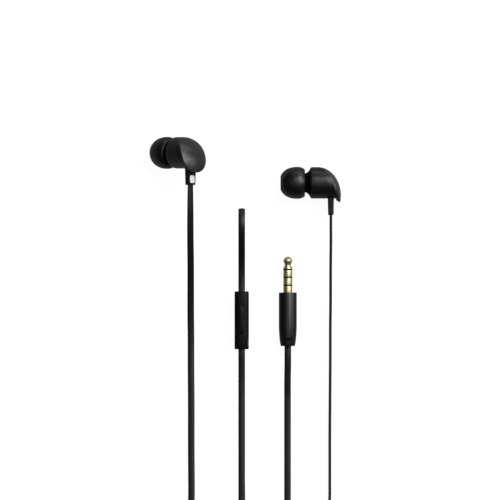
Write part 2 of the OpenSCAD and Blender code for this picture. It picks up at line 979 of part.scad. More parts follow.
// Shield outline, straight beside the legs and drawn in to the trunk, with rounded long edges
module splitter_blank() {
    straight = split_l * 0.35;
    intersection() {
        linear_extrude(split_t)
            polygon([
                [0, -split_w / 2 + split_corner],
                [-split_corner, -split_w / 2],
                [-straight, -split_w / 2],
                [-split_l, -split_end_w / 2],
                [-split_l, split_end_w / 2],
                [-straight, split_w / 2],
                [-split_corner, split_w / 2],
                [0, split_w / 2 - split_corner]
            ]);
        translate([-split_l, 0, split_t / 2])
            rotate([90, 0, 90])
                round_plate(split_w, split_t, split_l, split_corner);
    }
}

module splitter_half(from, to) {
    room = [split_l - 4, split_end_w - 2 * split_wall, split_t - 2 * split_wall];
    intersection() {
        difference() {
            splitter_blank();
            translate([-split_l + 2, -room[1] / 2, split_wall])
                cube(room);
        }
        translate([-split_l - 1, -split_w, from])
            cube([split_l + 2, 2 * split_w, to - from]);
    }
}

module splitter_front_shell() {
    color(SATIN_BLACK)
        splitter_half(split_z + seam, split_t);
}

module splitter_rear_shell() {
    color(SATIN_BLACK)
        splitter_half(0, split_z);
}

module splitter_crimp() {
    color(STEEL)
        translate([-split_l / 2 - crimp_l / 2, 0, split_wall + seam + crimp_r])
            rotate([0, 90, 0])
                cylinder(r = crimp_r, h = crimp_l);
}

// ---------------------------------------------------------------------------------------
// Cords

// Catmull-Rom value between b and c, at t from 0 to 1
function blend4(a, b, c, d, t) =
    0.5 * (2 * b + (c - a) * t + (2 * a - 5 * b + 4 * c - d) * t * t
        + (3 * b - a - 3 * c + d) * t * t * t);

function place(p) = [p[0], p[1], p[2]];

// Route points with more between them where they lie over ring_step apart
ring_step = 9;
function smooth(route) = let (n = len(route)) concat(
    [
        for (i = [0 : n - 2])
            let (
                a = route[max(i - 1, 0)],
                b = route[i],
                c = route[i + 1],
                d = route[min(i + 2, n - 1)],
                parts = max(1, ceil(norm(place(c) - place(b)) / ring_step))
            )
            for (k = [0 : parts - 1])
                blend4(a, b, c, d, k / parts)
    ],
    [last(route)]
);

function unit(v) = v / norm(v);

// Direction of travel at each point. The ends take the direction given, square to what they meet.
function headings(points, first, final) = let (n = len(points)) [
    for (i = [0 : n - 1])
        i == 0 ? first
        : i == n - 1 ? final
        : unit(unit(place(points[i + 1]) - place(points[i]))
            + unit(place(points[i]) - place(points[i - 1])))
];

// Level direction across the cord, kept on one side of it through an upright bend
function across(heading, before) = let (
    level = cross([0, 0, 1], heading),
    carried = before - (before * heading) * heading
)
    norm(level) < 0.7 ? unit(carried)
    : (level * before < 0 ? -1 : 1) * unit(level);

function sides(dirs) = [
    for (i = 0, v = unit(cross([0, 0, 1], dirs[0])); i < len(dirs);
        i = i + 1, v = i < len(dirs) ? across(dirs[i], v) : v)
        v
];

// Corners of the cable's section as [across, up]
flat_8 = [
    [cable_w / 2, cable_t * 0.2], [cable_w / 2 - cable_t * 0.3, cable_t / 2],
    [-cable_w / 2 + cable_t * 0.3, cable_t / 2], [-cable_w / 2, cable_t * 0.2],
    [-cable_w / 2, -cable_t * 0.2], [-cable_w / 2 + cable_t * 0.3, -cable_t / 2],
    [cable_w / 2 - cable_t * 0.3, -cable_t / 2], [cable_w / 2, -cable_t * 0.2]
];
flat_6 = [
    [cable_w / 2, 0], [cable_w / 2 - cable_t * 0.3, cable_t / 2],
    [-cable_w / 2 + cable_t * 0.3, cable_t / 2], [-cable_w / 2, 0],
    [-cable_w / 2 + cable_t * 0.3, -cable_t / 2], [cable_w / 2 - cable_t * 0.3, -cable_t / 2]
];

// Closed tube of the given section through points [x, y, z, roll]
module tube(points, dirs, section) {
    n = len(points);
    m = len(section);
    level = sides(dirs);
    rings = [
        for (i = [0 : n - 1])
            let (
                roll = points[i][3],
                up = cross(dirs[i], level[i]),
                wide = cos(roll) * level[i] + sin(roll) * up,
                high = cross(dirs[i], wide)
            )
            for (s = section)
                place(points[i]) + s[0] * wide + s[1] * high
    ];
    walls = [
        for (i = [0 : n - 2], j = [0 : m - 1])
            let (a = i * m + j, b = i * m + (j + 1) % m)
            each [[a, b, b + m], [a, b + m, a + m]]
    ];
    caps = [
        for (j = [1 : m - 2])
            each [[0, j + 1, j], [(n - 1) * m, (n - 1) * m + j, (n - 1) * m + j + 1]]
    ];
    polyhedron(points = rings, faces = [for (f = concat(walls, caps)) [f[0], f[2], f[1]]]);
}

module cord(route, first, final) {
    points = smooth(route);
    color(CABLE_BLACK)
        tube(points, headings(points, first, final), flat_8);
}

// Cable's exits from the two stems
left_exit = [
    left_x + stem_x * cos(left_turn), left_y - stem_reach, left_z + stem_x * sin(left_turn)
];
right_exit = [right_x + stem_x, right_y - stem_reach, right_z];
remote_cable_z = remote_z + remote_t / 2;
remote_top_y = remote_y + remote_l / 2;
remote_low_y = remote_y - remote_l / 2;

// From the left earbud down, round a bend, up again under the remote's strand and over a fold
left_leg_upper_route = [
    [left_exit[0], left_exit[1], left_exit[2], left_turn - 90],
    [-21.4, -8, 16.1, -38],
    [-21.4, -14, 15.3, -30],
    [-21.4, -24, 12.4, -22],
    [-21.3, -34, 8.6, -16],
    [-21.3, -44, 5, -10],
    [-21.3, -54, 2.3, -5],
    [-21.2, -64, 0.9, -1],
    [-21.2, -74, 0.55, 0],
    [-21.1, -90, 0.55, 0],
    [-21.1, -106, 0.55, 0],
    [-21, -122, 0.55, 0],
    [-21, -133, 0.55, 0],
    [-19.7, -138, 0.55, 0],
    [-16, -141.5, 0.55, 0],
    [-11.2, -142.8, 0.55, 0],
    [-6.4, -141.5, 0.55, 0],
    [-2.7, -138, 0.55, 0],
    [-1.4, -133, 0.55, 0],
    [-1.4, -118, 0.55, 0],
    [-1.4, -100, 0.55, 0],
    [-1.4, -82, 0.55, 0],
    [-1.4, -64, 0.55, 0],
    [-1.4, -46, 0.55, 0],
    [-1.4, -30, 0.55, 0],
    [-1.4, -23, 0.55, 0],
    [-1.4, -18.5, 0.55, 0],
    [-1.4, -15, 2, 0],
    [-1.4, -13.35, 5.6, 0],
    [-1.4, -15, 9.2, 0],
    [-1.4, -18.5, 10.7, 0],
    [-1.4, -22.8, 9.9, 0],
    [-1.4, -27.2, 7.9, 0],
    [-1.4, -32, 5.4, 0],
    [-1.4, -37, 3.7, 0],
    [-1.4, -41.5, 3.1, 0],
    [remote_x, remote_top_y, remote_cable_z, 0]
];

// From the remote down, over the bend and round to the splitter
left_leg_lower_route = [
    [remote_x, remote_low_y, remote_cable_z, 0],
    [-1.4, -71, 3, 0],
    [-1.4, -77, 2.3, 0],
    [-1.4, -84, 1.8, 0],
    [-1.4, -92, 1.75, 0],
    [-1.4, -108, 1.75, 0],
    [-1.4, -124, 1.75, 0],
    [-1.4, -136, 1.75, 0],
    [-1.1, -141, 1.75, 0],
    [0.4, -146, 1.3, 0],
    [2.6, -150.5, 0.8, 0],
    [3.9, -155, 0.8, 0],
    [3.1, -159.6, 1.1, 0],
    [0, -162.4, 1.4, 0],
    [split_x, split_y + split_pitch / 2, split_z, 0]
];

// From the right earbud down on its edge and out to the coil
right_leg_route = [
    [right_exit[0], right_exit[1], right_exit[2], 90],
    [33.4, -20, 6.2, 90],
    [33.4, -27, 5.7, 90],
    [33.3, -38, 4.3, 90],
    [33.3, -49, 2.8, 90],
    [33.2, -60, 1.8, 90],
    [33.2, -71, 1.4, 90],
    [33.1, -86, 1.3, 90],
    [33, -102, 1.3, 90],
    [33, -118, 1.3, 90],
    [32.9, -127, 1.3, 90],
    [32.1, -131, 1.4, 90],
    [30.3, -135, 1.5, 90],
    [28, -139, 1.6, 90],
    [26, -143, 1.7, 90],
    [leg_coil_c[0] - leg_coil_r, leg_coil_c[1] + end_straight, coil_low_z, 90]
];

// From the right leg's coil over the leg and the plug's lead to the splitter
right_leg_end_route = [
    [leg_coil_c[0] - end_straight, leg_coil_c[1] + leg_coil_r, coil_high_z, 90],
    [34, -135, 4.9, 90],
    [30.5, -135.2, 4.9, 88],
    [27, -135.9, 4.6, 80],
    [23.8, -137.6, 3.8, 58],
    [21, -140.1, 2.8, 30],
    [18.6, -143.1, 2, 8],
    [16.5, -146.4, 1.8, 0],
    [14.3, -149.8, 1.7, 0],
    [12.2, -153.4, 1.3, 0],
    [10.3, -157.2, 0.9, 0],
    [8.2, -161.2, 0.8, 0],
    [5.2, -164.8, 0.9, 0],
    [1, -167, 1.3, 0],
    [split_x, split_y - split_pitch / 2, split_z, 0]
];

// From the splitter round to the trunk's coil
trunk_start_route = [
    [split_x - split_l, split_y, split_z, 0],
    [-21.5, -165.6, 1.5, 10],
    [-24.2, -167.8, 1.5, 40],
    [-25.8, -171.5, 1.6, 70],
    [-26.3, -176, 1.7, 88],
    [-26.3, -181, 1.8, 90],
    [trunk_coil_c[0] - trunk_coil_r, trunk_coil_c[1] + end_straight, coil_low_z, 90]
];

// From the trunk's coil, under the right leg's end and up to the plug
plug_lead_route = [
    [trunk_coil_c[0] + trunk_coil_r, trunk_coil_c[1] + end_straight, coil_high_z, 90],
    [5.7, -184.5, 4.6, 84],
    [6.6, -180.5, 3.4, 55],
    [8.2, -176.5, 1.9, 24],
    [10.1, -172.5, 0.8, 2],
    [12.3, -168, 0.55, 0],
    [14.3, -162.5, 0.55, 0],
    [15.7, -156.5, 0.55, 0],
    [16.4, -150, 0.55, 0],
    [16.5, -140, 0.55, 0],
    [16.5, -124, 0.55, 0],
    [16.5, -108, 0.55, 0],
    [16.5, -95, 0.55, 0],
    [16.5, -87, 0.8, 0],
    [16.5, -80, 1.9, 0],
    [16.6, -73.5, 3.1, 0],
    [16.6, -70, 3.5, 0],
    [plug_x, plug_top_y - plug_l, plug_z, 0]
];

// Piled coil: it spirals in on the lower layer, climbs in the half turn where it reverses and
// spirals out on the upper layer
function coil_point(c, r, turn, a) = let (
    radius = r - coil_pitch * min(a, turn - a) / 360,
    climb = min(1, max(0, (a - turn / 2 + 90) / 180)),
    rise = climb * climb * (3 - 2 * climb),
    at = coil_from + a
)
    [c[0] + radius * cos(at), c[1] + radius * sin(at), coil_low_z + coil_layer * rise, 90];

function coil_heading(a) = [-sin(coil_from + a), cos(coil_from + a), 0];

function moved(point, v) = [point[0] + v[0], point[1] + v[1], point[2] + v[2], point[3]];

function coil_points(c, r, turn) = let (
    n = round(turn / 360 * loop_rings),
    arc = [for (i = [0 : n]) coil_point(c, r, turn, turn * i / n)]
) concat(
    [moved(arc[0], -end_straight * coil_heading(0))],
    arc,
    [moved(last(arc), end_straight * coil_heading(turn))]
);

module coil(points, turn) {
    color(CABLE_BLACK)
        tube(points, headings(points, coil_heading(0), coil_heading(turn)), flat_6);
}

leg_coil_points = coil_points(leg_coil_c, leg_coil_r, leg_coil_turn);
trunk_coil_points = coil_points(trunk_coil_c, trunk_coil_r, trunk_coil_turn);

// Gap between two sections on edge, beside and above each other by these distances. It is taken
// square to the section's faces: its flat side, its chamfer and its narrow end.
chamfer_run = cable_t / 2;
chamfer_rise = cable_t * 0.3;
function section_gap(beside, above) = let (
    normal = unit([chamfer_rise, chamfer_run])
)
    max(
        beside - cable_t,
        normal * [beside, above - cable_w],
        above - cable_w
    );

// Least gap of a coil to itself, between its points that are a third of a turn or more apart
function coil_gap(points) = min([
    for (i = [0 : len(points) - 1])
        for (j = [i + 8 : 1 : len(points) - 1])
            let (d = place(points[i]) - place(points[j]))
            section_gap(norm([d[0], d[1]]), abs(d[2]))
]);
function path_length(points) = len(points) < 2 ? 0 : sum_steps(points, 0, 0);
function sum_steps(points, i, total) = i >= len(points) - 1 ? total
    : sum_steps(points, i + 1, total + norm(place(points[i + 1]) - place(points[i])));

echo(leg_coil_gap = coil_gap(leg_coil_points));
echo(trunk_coil_gap = coil_gap(trunk_coil_points));
echo(left_leg_length = path_length(smooth(left_leg_upper_route))
    + path_length(smooth(left_leg_lower_route)) + remote_l);
echo(right_leg_length = path_length(smooth(right_leg_route))
    + path_length(leg_coil_points) + path_length(smooth(right_leg_end_route)));
echo(trunk_length = path_length(smooth(trunk_start_route))
    + path_length(trunk_coil_points) + path_length(smooth(plug_lead_route)));

// Flat tie round a coil's turns at one place, with its twisted tails outside
module tie(c, r, turn, at) {
    gap = 0.35;
    inner_r = r - coil_pitch * turn / 720;
    from_r = inner_r - cable_t / 2 - gap;
    to_r = r + cable_t / 2 + gap;
    top = coil_high_z + cable_w / 2 + gap;
    color(NECK_BLACK)
        translate([c[0], c[1], 0])
            rotate([0, 0, at])
                translate([0, tie_w / 2, 0])
                    rotate([90, 0, 0])
                        linear_extrude(tie_w) {
                            difference() {
                                translate([from_r - tie_t, 0])
                                    square([to_r - from_r + 2 * tie_t, top + tie_t]);
                                translate([from_r, tie_t])
                                    square([to_r - from_r, top - tie_t]);
                            }
                            translate([to_r, top / 2 - tie_t])
                                square([tie_tail, 2 * tie_t]);
                        }
}

// ---------------------------------------------------------------------------------------

at_left() eartip();  // left_eartip
at_left() nozzle();  // left_nozzle
at_left() nozzle_mesh();  // left_nozzle_mesh
at_left() barrel();  // left_barrel
at_left() rear_cap();  // left_rear_cap
at_left() driver_frame();  // left_driver_frame
at_left() diaphragm();  // left_diaphragm
at_left() voice_coil();  // left_voice_coil
at_left() magnet();  // left_magnet
at_left() yoke();  // left_yoke
at_left() pole_plate();  // left_pole_plate
at_left() driver_board();  // left_driver_board
at_left() cable_knot();  // left_cable_knot
at_left() stem();  // left_stem
at_left() side_mark();  // left_side_mark
at_right() eartip();  // right_eartip
at_right() nozzle();  // right_nozzle
at_right() nozzle_mesh();  // right_nozzle_mesh
at_right() barrel();  // right_barrel
at_right() rear_cap();  // right_rear_cap
at_right() driver_frame();  // right_driver_frame
at_right() diaphragm();  // right_diaphragm
at_right() voice_coil();  // right_voice_coil
at_right() magnet();  // right_magnet
at_right() yoke();  // right_yoke
at_right() pole_plate();  // right_pole_plate
at_right() driver_board();  // right_driver_board
at_right() cable_knot();  // right_cable_knot
at_right() stem();  // right_stem
at_right() side_mark();  // right_side_mark
at_remote() remote_front_shell();
at_remote() remote_rear_shell();
at_remote() remote_button();
at_remote() remote_board();
at_remote() remote_switch();
at_remote() mic_capsule();
at_remote() mic_gasket();
at_plug() plug_tip();
at_plug() plug_first_ring();
at_plug() plug_second_ring();
at_plug() plug_sleeve();
at_plug() plug_insulators();
at_plug() plug_inner_mould();
at_plug() plug_body();
at_splitter() splitter_front_shell();
at_splitter() splitter_rear_shell();
at_splitter() splitter_crimp();
cord(left_leg_upper_route, [0, -1, 0], [0, -1, 0]);  // left_leg_upper
cord(left_leg_lower_route, [0, -1, 0], [-1, 0, 0]);  // left_leg_lower
cord(right_leg_route, [0, -1, 0], [0, -1, 0]);  // right_leg
coil(leg_coil_points, leg_coil_turn);  // right_leg_coil
cord(right_leg_end_route, [-1, 0, 0], [-1, 0, 0]);  // right_leg_end
cord(trunk_start_route, [-1, 0, 0], [0, -1, 0]);  // trunk_start
coil(trunk_coil_points, trunk_coil_turn);  // trunk_coil
cord(plug_lead_route, [0, 1, 0], [0, 1, 0]);  // plug_lead
tie(leg_coil_c, leg_coil_r, leg_coil_turn, 300);  // right_leg_tie
tie(trunk_coil_c, trunk_coil_r, trunk_coil_turn, 225);  // trunk_tie
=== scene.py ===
"""Wired in-ear earphones: fine meshes and finishes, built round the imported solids.

Sizes are in millimetres in the classes below and turn into metres where a mesh is made. Each
earbud is described in its own frame: +X runs back from the barrel's front face, -Y runs down the
stem and +Z is across the flat of the cable.
"""

import json
import logging
import math
from collections.abc import Callable, Iterable, Sequence
from dataclasses import dataclass, field
from enum import Enum
from typing import Any

import bmesh
import bpy
from mathutils import Matrix, Vector

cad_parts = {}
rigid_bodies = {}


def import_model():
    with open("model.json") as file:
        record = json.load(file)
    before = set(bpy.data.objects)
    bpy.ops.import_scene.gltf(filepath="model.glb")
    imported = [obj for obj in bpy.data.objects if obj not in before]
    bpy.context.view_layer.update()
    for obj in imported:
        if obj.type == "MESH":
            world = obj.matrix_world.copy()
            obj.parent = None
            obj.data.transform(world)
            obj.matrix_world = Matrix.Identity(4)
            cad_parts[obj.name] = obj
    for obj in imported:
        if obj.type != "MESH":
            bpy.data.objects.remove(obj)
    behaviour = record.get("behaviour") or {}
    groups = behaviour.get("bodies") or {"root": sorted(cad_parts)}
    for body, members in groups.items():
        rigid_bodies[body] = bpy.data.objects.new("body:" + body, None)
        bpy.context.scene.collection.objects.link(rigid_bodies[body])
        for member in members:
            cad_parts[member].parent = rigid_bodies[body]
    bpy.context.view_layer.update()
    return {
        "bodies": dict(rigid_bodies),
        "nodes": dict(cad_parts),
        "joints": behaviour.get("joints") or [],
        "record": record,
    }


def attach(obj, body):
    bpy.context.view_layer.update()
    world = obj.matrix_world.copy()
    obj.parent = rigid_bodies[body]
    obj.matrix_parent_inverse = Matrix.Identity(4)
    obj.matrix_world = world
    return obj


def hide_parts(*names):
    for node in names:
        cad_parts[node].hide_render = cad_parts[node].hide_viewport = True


LOG = logging.getLogger("earphones")

MM = 0.001

# Most of a noise texture's values lie between these two.
NOISE_LOW = 0.3
NOISE_HIGH = 0.7
# Angle in degrees past which an edge stays crisp.
CRISP = 32.0
# The most of a side that one corner's rounding takes.
SIDE_SHARE = 0.48
# Points that lie closer than this, in metres, become one.
MERGE = 2e-7

# A place in a plane, a size or a range.
Pair = tuple[float, float]
# A place or a direction in space.
Triple = tuple[float, float, float]
# An outline's corner: its place, and how far its rounding runs along each side.
Corner = tuple[float, float, float]
# A place on a cable's route, and the cable's roll there in degrees.
RoutePoint = tuple[float, float, float, float]
# Red, green and blue, from 0 to 1.
Colour = tuple[float, float, float]


# -----------------------------------------------------------------------------------------
# Finishes


class NodeSheet:
    """A material's node tree, with short calls to add and join nodes."""

    def __init__(self, name: str) -> None:
        """Start an empty tree with a Principled shader on its output.

        Args:
            name: The material's name.
        """
        self.material = bpy.data.materials.new(name)
        self.material.use_nodes = True
        self.tree = self.material.node_tree
        self.tree.nodes.clear()
        self.output = self.tree.nodes.new("ShaderNodeOutputMaterial")
        self.shader = self.tree.nodes.new("ShaderNodeBsdfPrincipled")
        self.join(self.shader, "BSDF", self.output, "Surface")
        self.place = self.add("ShaderNodeTexCoord")

    def add(self, kind: str, **values: float | str | bool) -> bpy.types.Node:
        """Add a node and set its attributes or input sockets by name.

        Args:
            kind: Blender's node type.
            **values: Attribute names, or input names with underscores for spaces.

        Returns:
            The new node.
        """
        node = self.tree.nodes.new(kind)
        for key, value in values.items():
            if hasattr(node, key):
                setattr(node, key, value)
            else:
                node.inputs[key.replace("_", " ")].default_value = value
        return node

    def join(self, a: bpy.types.Node, out: str | int, b: bpy.types.Node, into: str | int) -> None:
        """Link output `out` of node a to input `into` of node b."""
        self.tree.links.new(a.outputs[out], b.inputs[into])

    def noise(self, scale: float, detail: float = 3.0, rough: float = 0.55) -> bpy.types.Node:
        """Noise in the object's own space.

        Args:
            scale: Cells per metre.
            detail: Octaves.
            rough: Strength of each further octave.

        Returns:
            The noise node.
        """
        node = self.add("ShaderNodeTexNoise", Scale=scale, Detail=detail, Roughness=rough)
        self.join(self.place, "Object", node, "Vector")
        return node

    def spread(self, source: bpy.types.Node, out: str, low: float, high: float) -> bpy.types.Node:
        """Map a noise's range to another one.

        Args:
            source: The node that gives the noise.
            out: Its output.
            low: The result where the noise is low.
            high: The result where the noise is high.

        Returns:
            The node that gives the mapped value.
        """
        node = self.add("ShaderNodeMapRange")
        node.inputs["From Min"].default_value = NOISE_LOW
        node.inputs["From Max"].default_value = NOISE_HIGH
        node.inputs["To Min"].default_value = low
        node.inputs["To Max"].default_value = high
        self.join(source, out, node, "Value")
        return node

    def two_tone(self, source: bpy.types.Node, out: str, a: Colour, b: Colour) -> bpy.types.Node:
        """Blend between two colours by a noise.

        Args:
            source: The node that gives the noise.
            out: Its output.
            a: The colour where the noise is low.
            b: The colour where the noise is high.

        Returns:
            The node that gives the colour.
        """
        ramp = self.add("ShaderNodeValToRGB")
        for element, position, colour in zip(
            ramp.color_ramp.elements, (NOISE_LOW, NOISE_HIGH), (a, b)
        ):
            element.position = position
            element.color = (*colour, 1)
        self.join(source, out, ramp, "Fac")
        return ramp


@dataclass(frozen=True)
class Finish:
    """A moulded, extruded or plated surface.

    Attributes:
        slot: The record's material slot.
        colour: Mean colour.
        tone: How far the colour drifts to either side of its mean, as a share.
        roughness: Mean roughness.
        drift: How far the roughness drifts to either side of its mean.
        grain: Grains per metre of the surface texture.
        depth: Height of the texture in metres.
        bump: Strength of the texture.
        cloud: Patches of colour per metre.
        smear: Patches of roughness per metre.
        wear: Share by which exposed edges are lighter.
        worn_tint: How much lighter the bare edge is than the mean colour, as a share.
        edge: Range of pointiness over which an edge turns from whole to worn.
        metallic: 1 for metal.
        ior: Index of refraction of a non-metal. Soft satin skins reflect less than bare plastic.
        sheen: Weight of the soft bloom that rubber has.
        sheen_rough: Roughness of that bloom.
        coat: Weight of a clear coat.
        coat_rough: Roughness of that coat.
        brushed: How much longer than wide the grain is, along X.
    """

    slot: str
    colour: Colour
    tone: float = 0.12
    roughness: float = 0.45
    drift: float = 0.05
    grain: float = 6000.0
    depth: float = 0.0000025
    bump: float = 0.6
    cloud: float = 260.0
    smear: float = 900.0
    wear: float = 0.25
    worn_tint: float = 1.2
    edge: Pair = (0.53, 0.66)
    metallic: float = 0.0
    ior: float = 1.42
    sheen: float = 0.0
    sheen_rough: float = 0.4
    coat: float = 0.0
    coat_rough: float = 0.15
    brushed: float = 1.0

    def tinted(self, share: float) -> Colour:
        """The mean colour made lighter or darker by a share."""
        return tuple(min(1.0, c * (1 + share)) for c in self.colour)

    def material(self) -> bpy.types.Material:
        """Find the slot's material, or build it the first time.

        Returns:
            The Blender material.
        """
        name = f"{self.slot}_finish"
        return bpy.data.materials.get(name) or self.build(NodeSheet(name))

    def build(self, sheet: NodeSheet) -> bpy.types.Material:
        """Fill a new material with clouded colour, worn edges, smears and grain.

        Args:
            sheet: The material's empty tree.

        Returns:
            The Blender material.
        """
        shader = sheet.shader.inputs
        shader["Base Color"].default_value = (*self.colour, 1)
        shader["Roughness"].default_value = self.roughness
        shader["Metallic"].default_value = self.metallic
        shader["IOR"].default_value = self.ior
        shader["Sheen Weight"].default_value = self.sheen
        shader["Sheen Roughness"].default_value = self.sheen_rough
        shader["Coat Weight"].default_value = self.coat
        shader["Coat Roughness"].default_value = self.coat_rough

        cloud = sheet.noise(self.cloud, detail=4.0, rough=0.6)
        base = sheet.two_tone(cloud, "Fac", self.tinted(-self.tone), self.tinted(self.tone))
        self.add_wear(sheet, base)

        smear = sheet.noise(self.smear, rough=0.5)
        rough = sheet.spread(
            smear, "Fac", self.roughness - self.drift, self.roughness + self.drift
        )
        sheet.join(rough, "Result", sheet.shader, "Roughness")
        self.add_grain(sheet)
        return sheet.material

    def add_wear(self, sheet: NodeSheet, base: bpy.types.Node) -> None:
        """Lighten the convex edges a little, and send the colour to the shader.

        Args:
            sheet: The material's tree.
            base: The node that gives the colour of the whole surface.
        """
        edge = sheet.add("ShaderNodeNewGeometry")
        ramp = sheet.add("ShaderNodeValToRGB")
        for element, position, grey in zip(ramp.color_ramp.elements, self.edge, (0.0, self.wear)):
            element.position = position
            element.color = (grey, grey, grey, 1)
        sheet.join(edge, "Pointiness", ramp, "Fac")
        mix = sheet.add("ShaderNodeMix", data_type="RGBA", blend_type="MIX")
        mix.inputs["B"].default_value = (*self.tinted(self.worn_tint), 1)
        sheet.join(ramp, "Color", mix, "Factor")
        sheet.join(base, "Color", mix, "A")
        sheet.join(mix, "Result", sheet.shader, "Base Color")

    def add_grain(self, sheet: NodeSheet) -> None:
        """Raise the surface's fine texture as bump.

        Args:
            sheet: The material's tree.
        """
        stretch = sheet.add("ShaderNodeMapping")
        stretch.inputs["Scale"].default_value = (1 / self.brushed, 1, 1)
        sheet.join(sheet.place, "Object", stretch, "Vector")
        grain = sheet.add("ShaderNodeTexNoise", Scale=self.grain, Detail=2.0, Roughness=0.6)
        sheet.join(stretch, "Vector", grain, "Vector")
        bump = sheet.add("ShaderNodeBump", Strength=self.bump, Distance=self.depth)
        sheet.join(grain, "Fac", bump, "Height")
        sheet.join(bump, "Normal", sheet.shader, "Normal")


@dataclass(frozen=True)
class BoardFinish(Finish):
    """Solder mask over copper tracks.

    Attributes:
        tracks: Scale of the tracks' pattern.
        bare: Tint of the mask between the tracks, as a share of its colour.
        over_copper: Tint of the mask over a track.
    """

    tracks: float = 700.0
    bare: float = -0.3
    over_copper: float = 0.9

    def build(self, sheet: NodeSheet) -> bpy.types.Material:
        """Fill a new material with the mask and the straight tracks that show through it.

        Args:
            sheet: The material's empty tree.

        Returns:
            The Blender material.
        """
        sheet.shader.inputs["Base Color"].default_value = (*self.colour, 1)
        sheet.shader.inputs["Roughness"].default_value = self.roughness
        wave = sheet.add("ShaderNodeTexWave", Scale=self.tracks, Distortion=0.4, Detail=1.0)
        sheet.join(sheet.place, "Object", wave, "Vector")
        tone = sheet.two_tone(wave, "Fac", self.tinted(self.bare), self.tinted(self.over_copper))
        sheet.join(tone, "Color", sheet.shader, "Base Color")
        self.add_grain(sheet)
        return sheet.material


FINISHES: dict[str, Finish] = {
    f.slot: f
    for f in (
        Finish("tip_silicone", (0.003, 0.003, 0.004), roughness=0.36, ior=1.5, sheen=0.02, grain=2500.0),
        Finish("neck_black", (0.003, 0.003, 0.003), roughness=0.45, ior=1.2, wear=0.1),
        Finish("housing_satin", (0.003, 0.003, 0.003), roughness=0.36, ior=1.48, grain=9000.0),
        Finish("cap_satin", (0.016, 0.016, 0.016), roughness=0.33, ior=1.52, grain=9000.0),
        Finish("stem_soft", (0.003, 0.003, 0.003), roughness=0.45, sheen=0.02, ior=1.35),
        Finish("mark_white", (0.80, 0.80, 0.78), tone=0.03, roughness=0.35, wear=0.0),
        Finish("cable_skin", (0.004, 0.004, 0.004), roughness=0.45, ior=1.42, grain=5000.0),
        Finish("remote_satin", (0.003, 0.003, 0.003), roughness=0.42, ior=1.22, grain=9000.0),
        Finish("button_satin", (0.003, 0.003, 0.003), roughness=0.42, ior=1.25, grain=9000.0),
        Finish("plug_moulding", (0.004, 0.004, 0.005), roughness=0.33, ior=1.55, grain=7000.0),
        Finish(
            "contact_gold", (0.92, 0.79, 0.46), tone=0.04, roughness=0.36, drift=0.02,
            grain=9000.0, depth=0.000001, wear=0.0, metallic=1.0,
        ),
        Finish("insulator", (0.028, 0.017, 0.003), roughness=0.5, ior=1.25, wear=0.05),
        Finish("inner_black", (0.030, 0.030, 0.030), roughness=0.5),
        Finish("steel", (0.62, 0.62, 0.63), tone=0.05, roughness=0.3, metallic=1.0, brushed=12.0),
        Finish("magnet", (0.50, 0.50, 0.52), tone=0.05, roughness=0.25, metallic=1.0),
        Finish("copper", (0.72, 0.36, 0.16), tone=0.08, roughness=0.3, metallic=1.0, brushed=8.0),
        Finish("film", (0.55, 0.47, 0.28), tone=0.05, roughness=0.2, wear=0.0, coat=0.4),
        Finish("tie", (0.010, 0.010, 0.010), roughness=0.4, grain=3000.0),
        BoardFinish("board", (0.020, 0.120, 0.050), roughness=0.3),
    )
}


# -----------------------------------------------------------------------------------------
# Mesh tools


def softened(corners: Iterable[Corner], steps: int = 4) -> list[Pair]:
    """Round the corners of a closed outline.

    Args:
        corners: Points as (x, y, reach), where reach is how far the rounding runs along each
            side of the corner. A reach of 0 keeps the corner.
        steps: Segments in a rounded corner.

    Returns:
        The outline's points.
    """
    points = list(corners)
    count = len(points)
    result: list[Pair] = []
    for i, (x, y, reach) in enumerate(points):
        here = Vector((x, y))
        before = Vector(points[i - 1][:2]) - here
        after = Vector(points[(i + 1) % count][:2]) - here
        if reach <= 0 or before.length < 1e-9 or after.length < 1e-9:
            result.append((x, y))
            continue
        start = here + before.normalized() * min(reach, before.length * SIDE_SHARE)
        stop = here + after.normalized() * min(reach, after.length * SIDE_SHARE)
        for k in range(steps + 1):
            t = k / steps
            point = start * (1 - t) ** 2 + here * 2 * t * (1 - t) + stop * t**2
            result.append((point.x, point.y))
    return result


def round_box(width: float, height: float, reach: float, steps: int = 4) -> list[Pair]:
    """Outline of a rectangle round its middle, with rounded corners.

    Args:
        width: Size along x.
        height: Size along y.
        reach: How far the rounding runs along each side.
        steps: Segments in a rounded corner.

    Returns:
        The outline's points.
    """
    a, b = width / 2, height / 2
    return softened([(a, b, reach), (-a, b, reach), (-a, -b, reach), (a, -b, reach)], steps)


